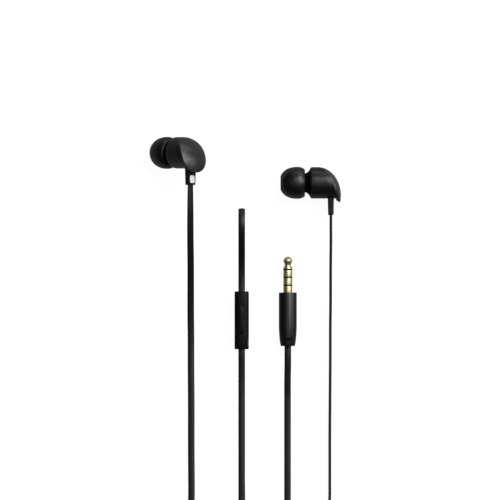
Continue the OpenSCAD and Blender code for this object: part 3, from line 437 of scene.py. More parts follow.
class MeshDraft:
    """Vertices and faces in millimetres, on their way to a mesh.

    Attributes:
        axis_gap: The least radius of a turned point.
    """

    axis_gap = 1e-5

    def __init__(self) -> None:
        """Start with nothing."""
        self.points: list[Vector] = []
        self.faces: list[tuple[int, ...]] = []

    def rings(self, rings: Sequence[Sequence[Vector]], caps: bool = True) -> "MeshDraft":
        """Join closed rings of equal count, one after another.

        Args:
            rings: The rings, in order.
            caps: Whether the first and last ring are closed with a fan round their middle.

        Returns:
            This draft.
        """
        start = len(self.points)
        size = len(rings[0])
        for ring in rings:
            self.points.extend(Vector(p) for p in ring)
        for i in range(len(rings) - 1):
            for j in range(size):
                a = start + i * size + j
                b = start + i * size + (j + 1) % size
                self.faces.append((a, b, b + size, a + size))
        if caps:
            last = len(self.points) - size
            self.fan(rings[0], start, flip=True)
            self.fan(rings[-1], last, flip=False)
        return self

    def fan(self, ring: Sequence[Vector], at: int, flip: bool) -> None:
        """Close a ring with triangles round its middle.

        Args:
            ring: The ring's points.
            at: Number of its first point in this draft.
            flip: Whether the triangles run the other way round.
        """
        size = len(ring)
        hub = len(self.points)
        self.points.append(sum((Vector(p) for p in ring), Vector()) / size)
        for j in range(size):
            a, b = at + j, at + (j + 1) % size
            self.faces.append((hub, b, a) if flip else (hub, a, b))

    def turned(self, profile: Sequence[Pair], segments: int = 96) -> "MeshDraft":
        """Turn a closed outline of (x, radius) points about X.

        Args:
            profile: The outline. A radius of 0 lies on the axis.
            segments: Facets round the axis.

        Returns:
            This draft.
        """
        start = len(self.points)
        count = len(profile)
        for k in range(segments):
            turn = 2 * math.pi * k / segments
            for x, r in profile:
                r = max(r, self.axis_gap)
                self.points.append(Vector((x, r * math.cos(turn), r * math.sin(turn))))
        for k in range(segments):
            for i in range(count):
                a = start + k * count + i
                b = start + k * count + (i + 1) % count
                c = start + ((k + 1) % segments) * count + (i + 1) % count
                d = start + ((k + 1) % segments) * count + i
                self.faces.append((a, b, c, d))
        return self

    def object(
        self, name: str, slot: str, place: Matrix | None = None, sharp: float = CRISP
    ) -> bpy.types.Object:
        """Make the object, with its place in its mesh.

        Args:
            name: The piece's name.
            slot: Its finish.
            place: Where the draft's own frame lies, in millimetres.
            sharp: Angle in degrees past which an edge stays crisp.

        Returns:
            The new object.
        """
        place = place or Matrix.Identity(4)
        mesh = bpy.data.meshes.new(name)
        mesh.from_pydata([tuple((place @ p) * MM) for p in self.points], [], self.faces)
        build = bmesh.new()
        build.from_mesh(mesh)
        bmesh.ops.remove_doubles(build, verts=build.verts, dist=MERGE)
        bmesh.ops.dissolve_degenerate(build, edges=build.edges, dist=1e-8)
        bmesh.ops.recalc_face_normals(build, faces=build.faces)
        build.to_mesh(mesh)
        build.free()
        mesh.shade_smooth()
        mesh.set_sharp_from_angle(angle=math.radians(sharp))
        mesh.materials.append(FINISHES[slot].material())
        piece = bpy.data.objects.new(name, mesh)
        bpy.context.scene.collection.objects.link(piece)
        return piece


def carve(piece: bpy.types.Object, cutters: Sequence[bpy.types.Object]) -> None:
    """Cut other objects out of a piece, and delete them.

    Args:
        piece: The piece, which keeps each cut face in its cutter's finish.
        cutters: The objects to cut out.
    """
    for cutter in cutters:
        cut = piece.modifiers.new("cut", "BOOLEAN")
        cut.operation = "DIFFERENCE"
        cut.solver = "EXACT"
        cut.material_mode = "TRANSFER"
        cut.object = cutter
        bpy.context.view_layer.update()
        graph = bpy.context.evaluated_depsgraph_get()
        mesh = bpy.data.meshes.new_from_object(piece.evaluated_get(graph))
        piece.modifiers.remove(cut)
        old = piece.data
        piece.data = mesh
        bpy.data.meshes.remove(old)
        bpy.data.objects.remove(cutter)
    piece.data.shade_smooth()
    piece.data.set_sharp_from_angle(angle=math.radians(CRISP))


# -----------------------------------------------------------------------------------------
# Earbuds


class Side(Enum):
    """The two earbuds."""

    LEFT = "left"
    RIGHT = "right"


@dataclass
class Eartip:
    """Silicone dome with its inner sleeve.

    Attributes:
        radius: Radius of the dome at its widest.
        back: Distance of the skirt's edge ahead of the barrel.
        length: Length from the skirt's edge to the dome's front.
        belly: How far ahead of the skirt's edge the dome is widest.
        back_length: Half length of the squared ellipse behind the widest place.
        power: How square the dome's outline is. 2 is an ellipse.
        wall: Thickness of the dome.
        mouth: Radius of the hole at the front.
        mouth_flare: Depth over which the hole narrows to its lip.
        lip: How far the lip stands in from the bore.
        lip_length: How far the lip runs on past the dome's wall.
        lip_ramp: Length over which the lip widens to the bore.
        bore: Radius of the hole for the nozzle.
        sleeve: Radius of the sleeve's outside.
        sleeve_back: How far the sleeve's end lies ahead of the skirt's edge.
    """

    radius: float = 6.25
    back: float = 2.34
    length: float = 10.0
    belly: float = 2.9
    back_length: float = 4.6
    power: float = 2.3
    wall: float = 0.7
    mouth: float = 2.2
    mouth_flare: float = 0.5
    lip: float = 0.45
    lip_length: float = 0.6
    lip_ramp: float = 0.3
    bore: float = 2.75
    sleeve: float = 3.4
    sleeve_back: float = 0.2

    def dome(self, inset: float, steps: int = 28) -> list[Pair]:
        """Outline from the skirt's edge to the front.

        Args:
            inset: How far the outline lies inside the full one.
            steps: Segments ahead of the widest place, and half as many behind it.

        Returns:
            The outline's points, as (x, radius).
        """
        radius = self.radius - inset
        front = self.length - self.belly - inset
        middle = -(self.back + self.belly)
        skirt = radius * (1 - (self.belly / self.back_length) ** self.power) ** (1 / self.power)
        start = math.acos((skirt / radius) ** (self.power / 2))
        half = steps // 2
        line: list[Pair] = []
        for i in range(half):
            t = start * (1 - i / half)
            line.append((
                middle + self.back_length * math.sin(t) ** (2 / self.power),
                radius * math.cos(t) ** (2 / self.power),
            ))
        for i in range(steps):
            t = math.pi / 2 * i / steps
            line.append((
                middle - front * math.sin(t) ** (2 / self.power),
                radius * math.cos(t) ** (2 / self.power),
            ))
        return line

    def profile(self) -> list[Pair]:
        """Closed outline of the whole tip, with a rounded mouth and skirt edge.

        Returns:
            The outline's points, as (x, radius).
        """
        rim, skirt_soft, hem_soft = 0.25, 0.25, 0.2
        outside = [p for p in self.dome(0) if p[1] > self.mouth + rim]
        inside = [p for p in self.dome(self.wall) if p[1] > self.sleeve]
        mouth_x = outside[-1][0] - 0.06
        lip = self.bore - self.lip
        lip_x = mouth_x + self.wall + self.lip_length
        sleeve_x = -self.back - self.sleeve_back
        corners: list[Corner] = [(*outside[0], skirt_soft)]
        corners += [(x, r, 0) for x, r in outside[1:]]
        corners += [
            (mouth_x, self.mouth, 0.3),
            (mouth_x + self.mouth_flare, lip, 0.2),
            (lip_x, lip, 0.1),
            (lip_x + self.lip_ramp, self.bore, 0.1),
            (sleeve_x, self.bore, 0.15),
            (sleeve_x, self.sleeve, 0.2),
            (inside[-1][0], self.sleeve, 0.5),
        ]
        corners += [(x, r, 0) for x, r in reversed(inside[1:])]
        corners.append((*inside[0], hem_soft))
        return softened(corners, 5)

    def lift(self, turn: float) -> float:
        """Height of the barrel's axis above the surface that the tilted dome touches."""
        outline = self.dome(0)
        return max(r * math.cos(turn) - x * math.sin(turn) for x, r in outline)


@dataclass
class CapShape:
    """The rear cap's curved leaf: an ellipse turned about an upright axis.

    Attributes:
        start: X of the leaf's upper front edge.
        depth: How far the leaf runs back from there.
        drop: Half height of the ellipse.
        axis_back: How far the upright axis lies ahead of the barrel's front face.
        lead: How far the ellipse starts ahead of the leaf.
        rise: How far the ellipse's top lies over the barrel.
        wall: Thickness of the leaf along the barrel.
        edge: Thickness of the leaf at its lower end.
        overhang: How far the leaf stands out round the barrel.
        barrel: Radius of the barrel.
        beak_drop: How far the beak reaches below the overhang.
        beak_length: Length of the beak along the barrel.
        beak_back: Height of the beak's upright front.
        seam: Gap between the leaf and the barrel.
    """

    start: float = 3.0
    depth: float = 8.7
    drop: float = 11.07
    axis_back: float = 3.0
    lead: float = 0.4
    rise: float = 0.02
    wall: float = 0.9
    edge: float = 0.45
    overhang: float = 0.15
    barrel: float = 6.15
    beak_drop: float = 1.45
    beak_length: float = 2.0
    beak_back: float = 0.55
    seam: float = 0.03

    def turn_radius(self, y: float, inset_x: float = 0.0, inset_y: float = 0.0) -> float:
        """Distance of the surface from the upright axis.

        Args:
            y: Height.
            inset_x: How far the surface lies inside the leaf's outside, along the barrel.
            inset_y: How far it lies inside in height.

        Returns:
            The distance.
        """
        middle_y = self.barrel + self.rise - self.drop
        share = (y - middle_y) / (self.drop - inset_y)
        reach = math.sqrt(max(0.0, 1 - min(1.0, abs(share)) ** 2))
        return self.start - self.lead + self.axis_back + (self.depth + self.lead - inset_x) * reach

    def surface_x(self, y: float, z: float, inset_x: float = 0.0, inset_y: float = 0.0) -> float:
        """X of the surface over the point (y, z), with the insets of turn_radius."""
        radius = self.turn_radius(y, inset_x, inset_y)
        return math.sqrt(max(0.0, radius**2 - z**2)) - self.axis_back

    def half_width(self, y: float) -> float:
        """Half width of the leaf's outline, seen along the barrel.

        Args:
            y: Height.

        Returns:
            The half width.
        """
        r = self.barrel + self.overhang
        if y > 0:
            return math.sqrt(max(0.0, r * r - y * y))
        if y > -self.beak_drop:
            return r
        return math.sqrt(max(0.0, r * r - (y + self.beak_drop) ** 2))

    def chin_x(self, y: float) -> float:
        """X of the front of the beak under the barrel.

        Args:
            y: Height.

        Returns:
            The place, which slants back below the beak's upright front.
        """
        front = self.start + self.depth - self.beak_length
        knee = -self.barrel - self.seam - self.beak_back
        tip = -(self.barrel + self.overhang + self.beak_drop)
        if y > knee:
            return front
        share = (knee - y) / (knee - tip)
        tip_length = 0.3
        return front + share * (self.beak_length - tip_length)

    def inner_x(self, y: float, z: float) -> float:
        """X of the leaf's hidden face.

        Args:
            y: Height.
            z: Distance from the middle plane.

        Returns:
            The place, always a little ahead of the outside.
        """
        least = 0.02
        if y < -self.barrel - self.seam:
            return min(self.chin_x(y), self.surface_x(y, z) - least)
        return max(self.start, self.surface_x(y, z, self.wall, self.edge))

    def rows(self, count: int = 72) -> list[float]:
        """Heights of the leaf's rows, closer together near its two ends.

        Args:
            count: Spaces between the rows.

        Returns:
            The heights, from the top down.
        """
        hair = 1e-3
        top = self.barrel + self.rise - hair
        while self.surface_x(top, 0) <= self.start:
            top -= hair
        low = -(self.barrel + self.overhang + self.beak_drop) + hair
        return [
            low + (top - low) * (0.5 + 0.5 * math.cos(math.pi * i / count))
            for i in range(count + 1)
        ]

    def reach(self, y: float) -> float:
        """Half width of the leaf's surface, cut off at its top edge.

        Args:
            y: Height.

        Returns:
            The half width.
        """
        radius = self.turn_radius(y)
        top_cut = math.sqrt(max(0.0, radius**2 - (self.start + self.axis_back) ** 2))
        return min(self.half_width(y), top_cut)

    def ring(self, y: float, columns: int = 48) -> list[Vector]:
        """Section of the leaf with softened rims.

        Args:
            y: Its height.
            columns: Spaces across each face.

        Returns:
            The section's points: the outside, one rim, the hidden face and the other rim.
        """
        least, soft = 0.01, 0.14
        reach = self.reach(y)
        inside = max(0.0, reach - soft)
        rim_x = self.surface_x(y, reach)
        hidden_x = min(self.inner_x(y, reach), rim_x - least)
        down = min(soft, (rim_x - hidden_x) * 0.45)
        rim = [(rim_x - down * 0.3, reach - soft * 0.25), (rim_x - down, reach), (hidden_x, reach)]

        across = [inside * math.sin(math.pi / 2 * (2 * j / columns - 1)) for j in range(columns + 1)]
        back = [inside * math.sin(math.pi / 2 * (1 - 2 * j / columns)) for j in range(columns + 1)]
        ring = [Vector((self.surface_x(y, z), y, z)) for z in across]
        ring += [Vector((x, y, max(0.0, z))) for x, z in rim]
        ring += [
            Vector((min(self.inner_x(y, z), self.surface_x(y, z) - least), y, z)) for z in back
        ]
        ring += [Vector((x, y, -max(0.0, z))) for x, z in reversed(rim)]
        return ring


@dataclass
class Earbud:
    """One earbud: its place in the set and its pieces.

    Attributes:
        side: Which earbud it is.
        x: X of the barrel's front face.
        y: Y of the barrel's axis.
        turn: Tilt about the stem, in degrees.
        tip: The eartip.
        cap: The rear cap.
        barrel: Radius of the barrel.
        barrel_wall: Thickness of its wall.
        barrel_edge: Radius of its front edge.
        nozzle: Radius of the nozzle's tube.
        barb: Radius of the barb at its end.
        nozzle_length: How far it reaches ahead of the barrel.
        nozzle_bore: Radius of its bore.
        nozzle_mouth: Radius of the seat of its mesh.
        collar: Radius of the collar behind the eartip.
        collar_gap: How far the collar reaches into the eartip's skirt.
        fit: Gap between the nozzle's cup and the barrel.
        stem_x: X of the stem's middle.
        stem_root: Depth and width of the stem where it leaves the barrel.
        stem_end: Depth and width of its lower end.
        stem_reach: Distance of that end from the barrel's axis.
        stem_top: Y of its hidden upper end.
        stem_soft: Rounding of its upright edges.
        groove_lift: Height of the fine groove round its foot.
        mark: Width and height of the plate on it.
        mark_middle: Height of the plate's middle above the stem's end.
    """

    side: Side
    x: float
    y: float
    turn: float
    tip: Eartip = field(default_factory=Eartip)
    cap: CapShape = field(default_factory=CapShape)
    barrel: float = 6.15
    barrel_wall: float = 0.85
    barrel_edge: float = 0.3
    nozzle: float = 2.4
    barb: float = 2.7
    nozzle_length: float = 9.2
    nozzle_bore: float = 1.6
    nozzle_mouth: float = 1.95
    collar: float = 3.7
    collar_gap: float = 0.15
    fit: float = 0.03
    stem_x: float = 7.75
    stem_root: Pair = (2.42, 4.05)
    stem_end: Pair = (2.1, 3.85)
    stem_reach: float = 12.58
    stem_top: float = -4.25
    stem_soft: float = 0.42
    groove_lift: float = 0.68
    mark: Pair = (2.44, 3.04)
    mark_middle: float = 2.3

    def name(self, piece: str) -> str:
        """Name of a CAD node of this earbud."""
        return f"{self.side.value}_{piece}"

    def place(self) -> Matrix:
        """Where the earbud lies, with its lowest side on the surface.

        Returns:
            Matrix from the earbud's own frame to the set's, in millimetres.
        """
        turn = math.radians(self.turn)
        if self.side is Side.LEFT:
            z = self.tip.lift(turn)
        else:
            z = max(self.barrel + self.cap.overhang, self.tip.radius)
        return Matrix.Translation((self.x, self.y, z)) @ Matrix.Rotation(-turn, 4, "Y")

    def stand_in(self, draft: MeshDraft, piece: str, slot: str, body: str = "set") -> None:
        """Make a piece in place of the CAD node of the same name.

        Args:
            draft: Its mesh, in the earbud's own frame.
            piece: The node's name without the side.
            slot: Its finish.
            body: The body that it rides on.
        """
        made = draft.object(f"{self.name(piece)}_skin", slot, self.place())
        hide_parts(self.name(piece))
        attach(made, body)
        LOG.info("made %s", made.name)

    def build_tip(self) -> None:
        """Make the silicone tip."""
        draft = MeshDraft().turned(self.tip.profile(), 128)
        self.stand_in(draft, "eartip", "tip_silicone", f"{self.side.value}_tip")

    def build_nozzle(self) -> None:
        """Make the near-black cone, collar, tube and barb."""
        r, c, barb, mouth = self.barrel, self.collar, self.barb, self.nozzle_mouth
        rim = r - self.barrel_edge
        cup = r - self.barrel_wall - self.fit
        throat = cup - 1.2
        tube_x = -self.tip.back - self.collar_gap
        end = -self.nozzle_length
        barb_x = end + 1.3
        seat = end + 0.3
        corners: list[Corner] = [
            # the cup in the barrel and its rim
            (1.0, cup, 0), (0.0, cup, 0), (0.0, rim, 0), (-0.25, rim, 0.15),
            # the cone and the collar
            (-0.55, r - 1.05, 0.3), (-1.05, c + 0.75, 0.3), (-1.6, c + 0.25, 0.3), (tube_x, c, 0.12),
            # the tube and the barb
            (tube_x, self.nozzle, 0.15), (barb_x, self.nozzle, 0.15), (barb_x, barb, 0.15),
            (end + 0.45, barb, 0.2), (end, barb - 0.3, 0.15),
            # the mesh's seat and the bore
            (end, mouth, 0.05), (seat, mouth, 0), (seat, self.nozzle_bore, 0),
            (-0.2, self.nozzle_bore, 0.2), (0.6, throat, 0.2), (1.0, throat, 0),
        ]
        self.stand_in(MeshDraft().turned(softened(corners), 128), "nozzle", "neck_black")

    def barrel_rear(self, turn: float) -> float:
        """X of the barrel's rear edge, which follows the cap.

        Args:
            turn: Angle round the barrel, in radians from its top.

        Returns:
            The place of the edge.
        """
        y, z = self.barrel * math.cos(turn), self.barrel * math.sin(turn)
        gap = self.cap.seam
        behind = self.cap.surface_x(y, z, self.cap.wall + gap, self.cap.edge + gap)
        return max(self.cap.start - gap, behind)

    def barrel_ring(
        self, place: Callable[[float], float], radius: float, segments: int = 144
    ) -> list[Vector]:
        """Ring round the barrel.

        Args:
            place: Gives the ring's x from the x of the rear edge.
            radius: The ring's radius.
            segments: Points in the ring.

        Returns:
            The ring's points.
        """
        ring = []
        for k in range(segments):
            turn = 2 * math.pi * k / segments
            x = place(self.barrel_rear(turn))
            ring.append(Vector((x, radius * math.cos(turn), radius * math.sin(turn))))
        return ring

    def build_barrel(self) -> None:
        """Make the barrel from its front edge round to the inside."""
        r, wall, edge = self.barrel, self.barrel_wall, self.barrel_edge
        soft = 0.12
        front = [
            (0.0, r - wall), (0.0, r - edge), (edge * 0.1, r - edge * 0.55),
            (edge * 0.3, r - edge * 0.3), (edge * 0.6, r - edge * 0.08), (edge, r),
        ]
        rings = [self.barrel_ring(lambda rear, x=x: x, radius) for x, radius in front]
        for share in (0.25, 0.5, 0.75):
            rings.append(
                self.barrel_ring(lambda rear, s=share: edge + (rear - soft - edge) * s, r)
            )
        for back, radius in (
            (soft, r), (soft * 0.3, r - soft * 0.25), (0.0, r - soft), (0.0, r - wall)
        ):
            rings.append(self.barrel_ring(lambda rear, back=back: rear - back, radius))
        rings.append(rings[0])
        self.stand_in(MeshDraft().rings(rings, caps=False), "barrel", "housing_satin")

    def build_cap(self) -> None:
        """Make the leaf over the rear, with its softened rim and the beak under the barrel."""
        rings = [self.cap.ring(y) for y in self.cap.rows()]
        self.stand_in(MeshDraft().rings(rings), "rear_cap", "cap_satin")

    def stem_ring(self, y: float, shrink: float = 0.0) -> list[Vector]:
        """Section of the stem.

        Args:
            y: Its height.
            shrink: How much smaller it is all round.

        Returns:
            The section's points.
        """
        share = min(1.0, max(0.0, (-y - self.barrel) / (self.stem_reach - self.barrel)))
        depth = self.stem_root[0] + (self.stem_end[0] - self.stem_root[0]) * share
        width = self.stem_root[1] + (self.stem_end[1] - self.stem_root[1]) * share
        outline = round_box(depth - 2 * shrink, width - 2 * shrink, self.stem_soft, 5)
        return [Vector((self.stem_x + a, y, b)) for a, b in outline]

    def build_stem(self) -> None:
        """Make the tapered stem, with a fine groove round its foot and a rounded end."""
        low = -self.stem_reach
        groove = low + self.groove_lift
        stations = [
            (self.stem_top, 0.0), (-self.barrel, 0.0), (-8.0, 0.0), (-10.0, 0.0), (-11.0, 0.0),
            (groove + 0.24, 0.0), (groove + 0.18, 0.05), (groove + 0.06, 0.05), (groove, 0.0),
            (low + 0.3, 0.0), (low + 0.15, 0.03), (low + 0.06, 0.09), (low, 0.22),
        ]
        rings = [self.stem_ring(y, shrink) for y, shrink in stations]
        self.stand_in(MeshDraft().rings(rings), "stem", "stem_soft")

    def build_mark(self) -> None:
        """Make the bare white plate on the stem."""
        face = self.stem_x + self.stem_end[0] / 2
        middle = self.mark_middle - self.stem_reach
        width, height = self.mark
        rings = []
        for x, inset in ((-0.17, 0), (0.06, 0), (0.1, 0.03), (0.13, 0.1)):
            outline = round_box(height - 2 * inset, width - 2 * inset, 0.55, 6)
            rings.append([Vector((face + x, middle + a, b)) for a, b in outline])
        self.stand_in(MeshDraft().rings(rings), "side_mark", "mark_white")

    def build(self) -> None:
        """Make every visible piece of the earbud."""
        self.build_tip()
        self.build_nozzle()
        self.build_barrel()
        self.build_cap()
        self.build_stem()
        self.build_mark()


# -----------------------------------------------------------------------------------------
# Remote, splitter and plug


@dataclass
class Remote:
    """In-line remote with its button and the microphone's port.

    Attributes:
        x: X of its middle.
        y: Y of its middle.
        z: Height of its underside.
        width: Size across the cable.
        length: Size along the cable.
        thick: Size upwards.
        power: How square its section is. 2 is an ellipse.
        wall: Thickness of the shells.
        seam: Gaps above and below the middle, where the shells meet.
        button: Width and length of the button.
        button_proud: How far the button stands out.
        button_gap: Gap round the button.
        button_deep: How far the button reaches below the shell.
        button_soft: Rounding of its top edge.
        port_y: Distance of the microphone's port below the middle.
        port: Height and length of the port.
        port_lift: Height of the port's lower edge above the seam.
        port_floor: Distance of the port's floor from the middle.
        held: The pieces inside, which are CAD nodes.
    """

    x: float = -1.4
    y: float = -56.55
    z: float = 1.15
    width: float = 5.6
    length: float = 22.6
    thick: float = 3.8
    power: float = 2.6
    wall: float = 0.6
    seam: Pair = (0.03, 0.02)
    button: Pair = (2.1, 10.9)
    button_proud: float = 0.15
    button_gap: float = 0.05
    button_deep: float = 0.3
    button_soft: float = 0.1
    port_y: float = 8.8
    port: Pair = (0.9, 3.0)
    port_lift: float = 0.3
    port_floor: float = 1.9
    held: tuple[str, ...] = ("remote_board", "remote_switch", "mic_capsule", "mic_gasket")

    def place(self) -> Matrix:
        """Matrix from the remote's own frame, whose origin is under its middle."""
        return Matrix.Translation((self.x, self.y, self.z))

    def section(self, inset: float, y: float) -> list[Vector]:
        """Squared-ellipse section.

        Args:
            inset: How much smaller it is all round.
            y: Its place along the remote.

        Returns:
            The section's points.
        """
        count = 72
        a, b = self.width / 2 - inset, self.thick / 2 - inset
        ring = []
        for i in range(count):
            t = 2 * math.pi * i / count
            c, s = math.cos(t), math.sin(t)
            x = a * math.copysign(abs(c) ** (2 / self.power), c)
            z = b * math.copysign(abs(s) ** (2 / self.power), s)
            ring.append(Vector((x, y, self.thick / 2 + z)))
        return ring

    def half(self, name: str, low: float, high: float) -> bpy.types.Object:
        """Make the housing between two heights, with rounded ends.

        Args:
            name: The piece's name.
            low: Height at which it starts.
            high: Height at which it stops.

        Returns:
            The shell.
        """
        end = self.length / 2
        rounding = [(0.0, 0.42), (0.06, 0.22), (0.2, 0.08), (0.5, 0.0)]
        stations = [(-end + back, inset) for back, inset in rounding]
        stations += [(-end / 2, 0.0), (0.0, 0.0), (end / 2, 0.0)]
        stations += [(end - back, inset) for back, inset in reversed(rounding)]
        rings = []
        for y, inset in stations:
            ring = self.section(inset, y)
            for p in ring:
                p.z = min(max(p.z, low), high)
            rings.append(ring)
        return MeshDraft().rings(rings).object(name, "remote_satin", self.place())

    def pill(self, width: float, length: float, low: float, high: float, soft: float) -> MeshDraft:
        """Upright plate with round ends and a softened top.

        Args:
            width: Size across.
            length: Size along the remote.
            low: Height of its underside.
            high: Height of its top.
            soft: Rounding of its top edge.

        Returns:
            The plate's draft.
        """
        rings = []
        reach = width * 0.5
        for z, inset in ((low, 0), (high - soft, 0), (high - soft * 0.3, soft * 0.3), (high, soft)):
            outline = round_box(width - 2 * inset, length - 2 * inset, reach, 10)
            rings.append([Vector((a, b, z)) for a, b in outline])
        return MeshDraft().rings(rings)

    def flank(self, lift: float) -> float:
        """How far the housing reaches sideways at a height above or below its middle."""
        share = 1 - (abs(lift) / (self.thick / 2)) ** self.power
        return self.width / 2 * share ** (1 / self.power)

    def port_mesh(self) -> bpy.types.Object:
        """Make the pressed mesh just inside the microphone's port.

        Returns:
            The mesh.
        """
        tall, long = self.port
        edge, inset, count = 0.05, 0.06, 6
        deep = self.port_floor + edge
        lifts = [self.port_lift + edge + (tall - 2 * edge) * i / count for i in range(count + 1)]
        section = [(self.flank(lift) - inset, lift) for lift in lifts]
        section += [(deep, lifts[-1]), (deep, lifts[0])]
        seam = self.thick / 2
        rings = [
            [Vector((x, y, seam + lift)) for x, lift in section]
            for y in (edge - self.port_y - long / 2, long / 2 - edge - self.port_y)
        ]
        return MeshDraft().rings(rings).object("mic_port_mesh", "steel", self.place())

    def window_cutter(self) -> bpy.types.Object:
        """Make what cuts the button's window.

        Returns:
            The cutter.
        """
        width, length = (size + 2 * self.button_gap for size in self.button)
        low = self.thick - 2 * self.wall
        plate = self.pill(width, length, low, self.thick + 1, 0.001)
        return plate.object("window_cutter", "remote_satin", self.place())

    def port_cutter(self) -> bpy.types.Object:
        """Make what cuts the microphone's port.

        Returns:
            The cutter.
        """
        tall, long = self.port
        middle = self.thick / 2 + self.port_lift + tall / 2
        outline = round_box(long, tall, 0.25)
        outside = self.width / 2 + 1.2
        rings = [
            [Vector((x, a - self.port_y, middle + b)) for a, b in outline]
            for x in (self.port_floor, outside)
        ]
        return MeshDraft().rings(rings).object("port_cutter", "remote_satin", self.place())

    def build(self) -> list[bpy.types.Object]:
        """Make the shells, the button and the port's mesh.

        Returns:
            The pieces that lie on the cord.
        """
        middle = self.thick / 2
        above, below = self.seam
        front = self.half("remote_front_shell_skin", middle + above, self.thick)
        rear = self.half("remote_rear_shell_skin", 0.0, middle - below)
        carve(front, [self.window_cutter(), self.port_cutter()])
        width, length = self.button
        low = self.thick - self.wall - self.button_deep
        button = self.pill(
            width, length, low, self.thick + self.button_proud, self.button_soft
        ).object("remote_button_skin", "button_satin", self.place())
        for made, node, body in (
            (front, "remote_front_shell", "set"),
            (rear, "remote_rear_shell", "set"),
            (button, "remote_button", "button"),
        ):
            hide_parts(node)
            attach(made, body)
            LOG.info("made %s", made.name)
        mesh = self.port_mesh()
        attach(mesh, "set")
        LOG.info("made %s", mesh.name)
        return [front, rear, button, mesh]


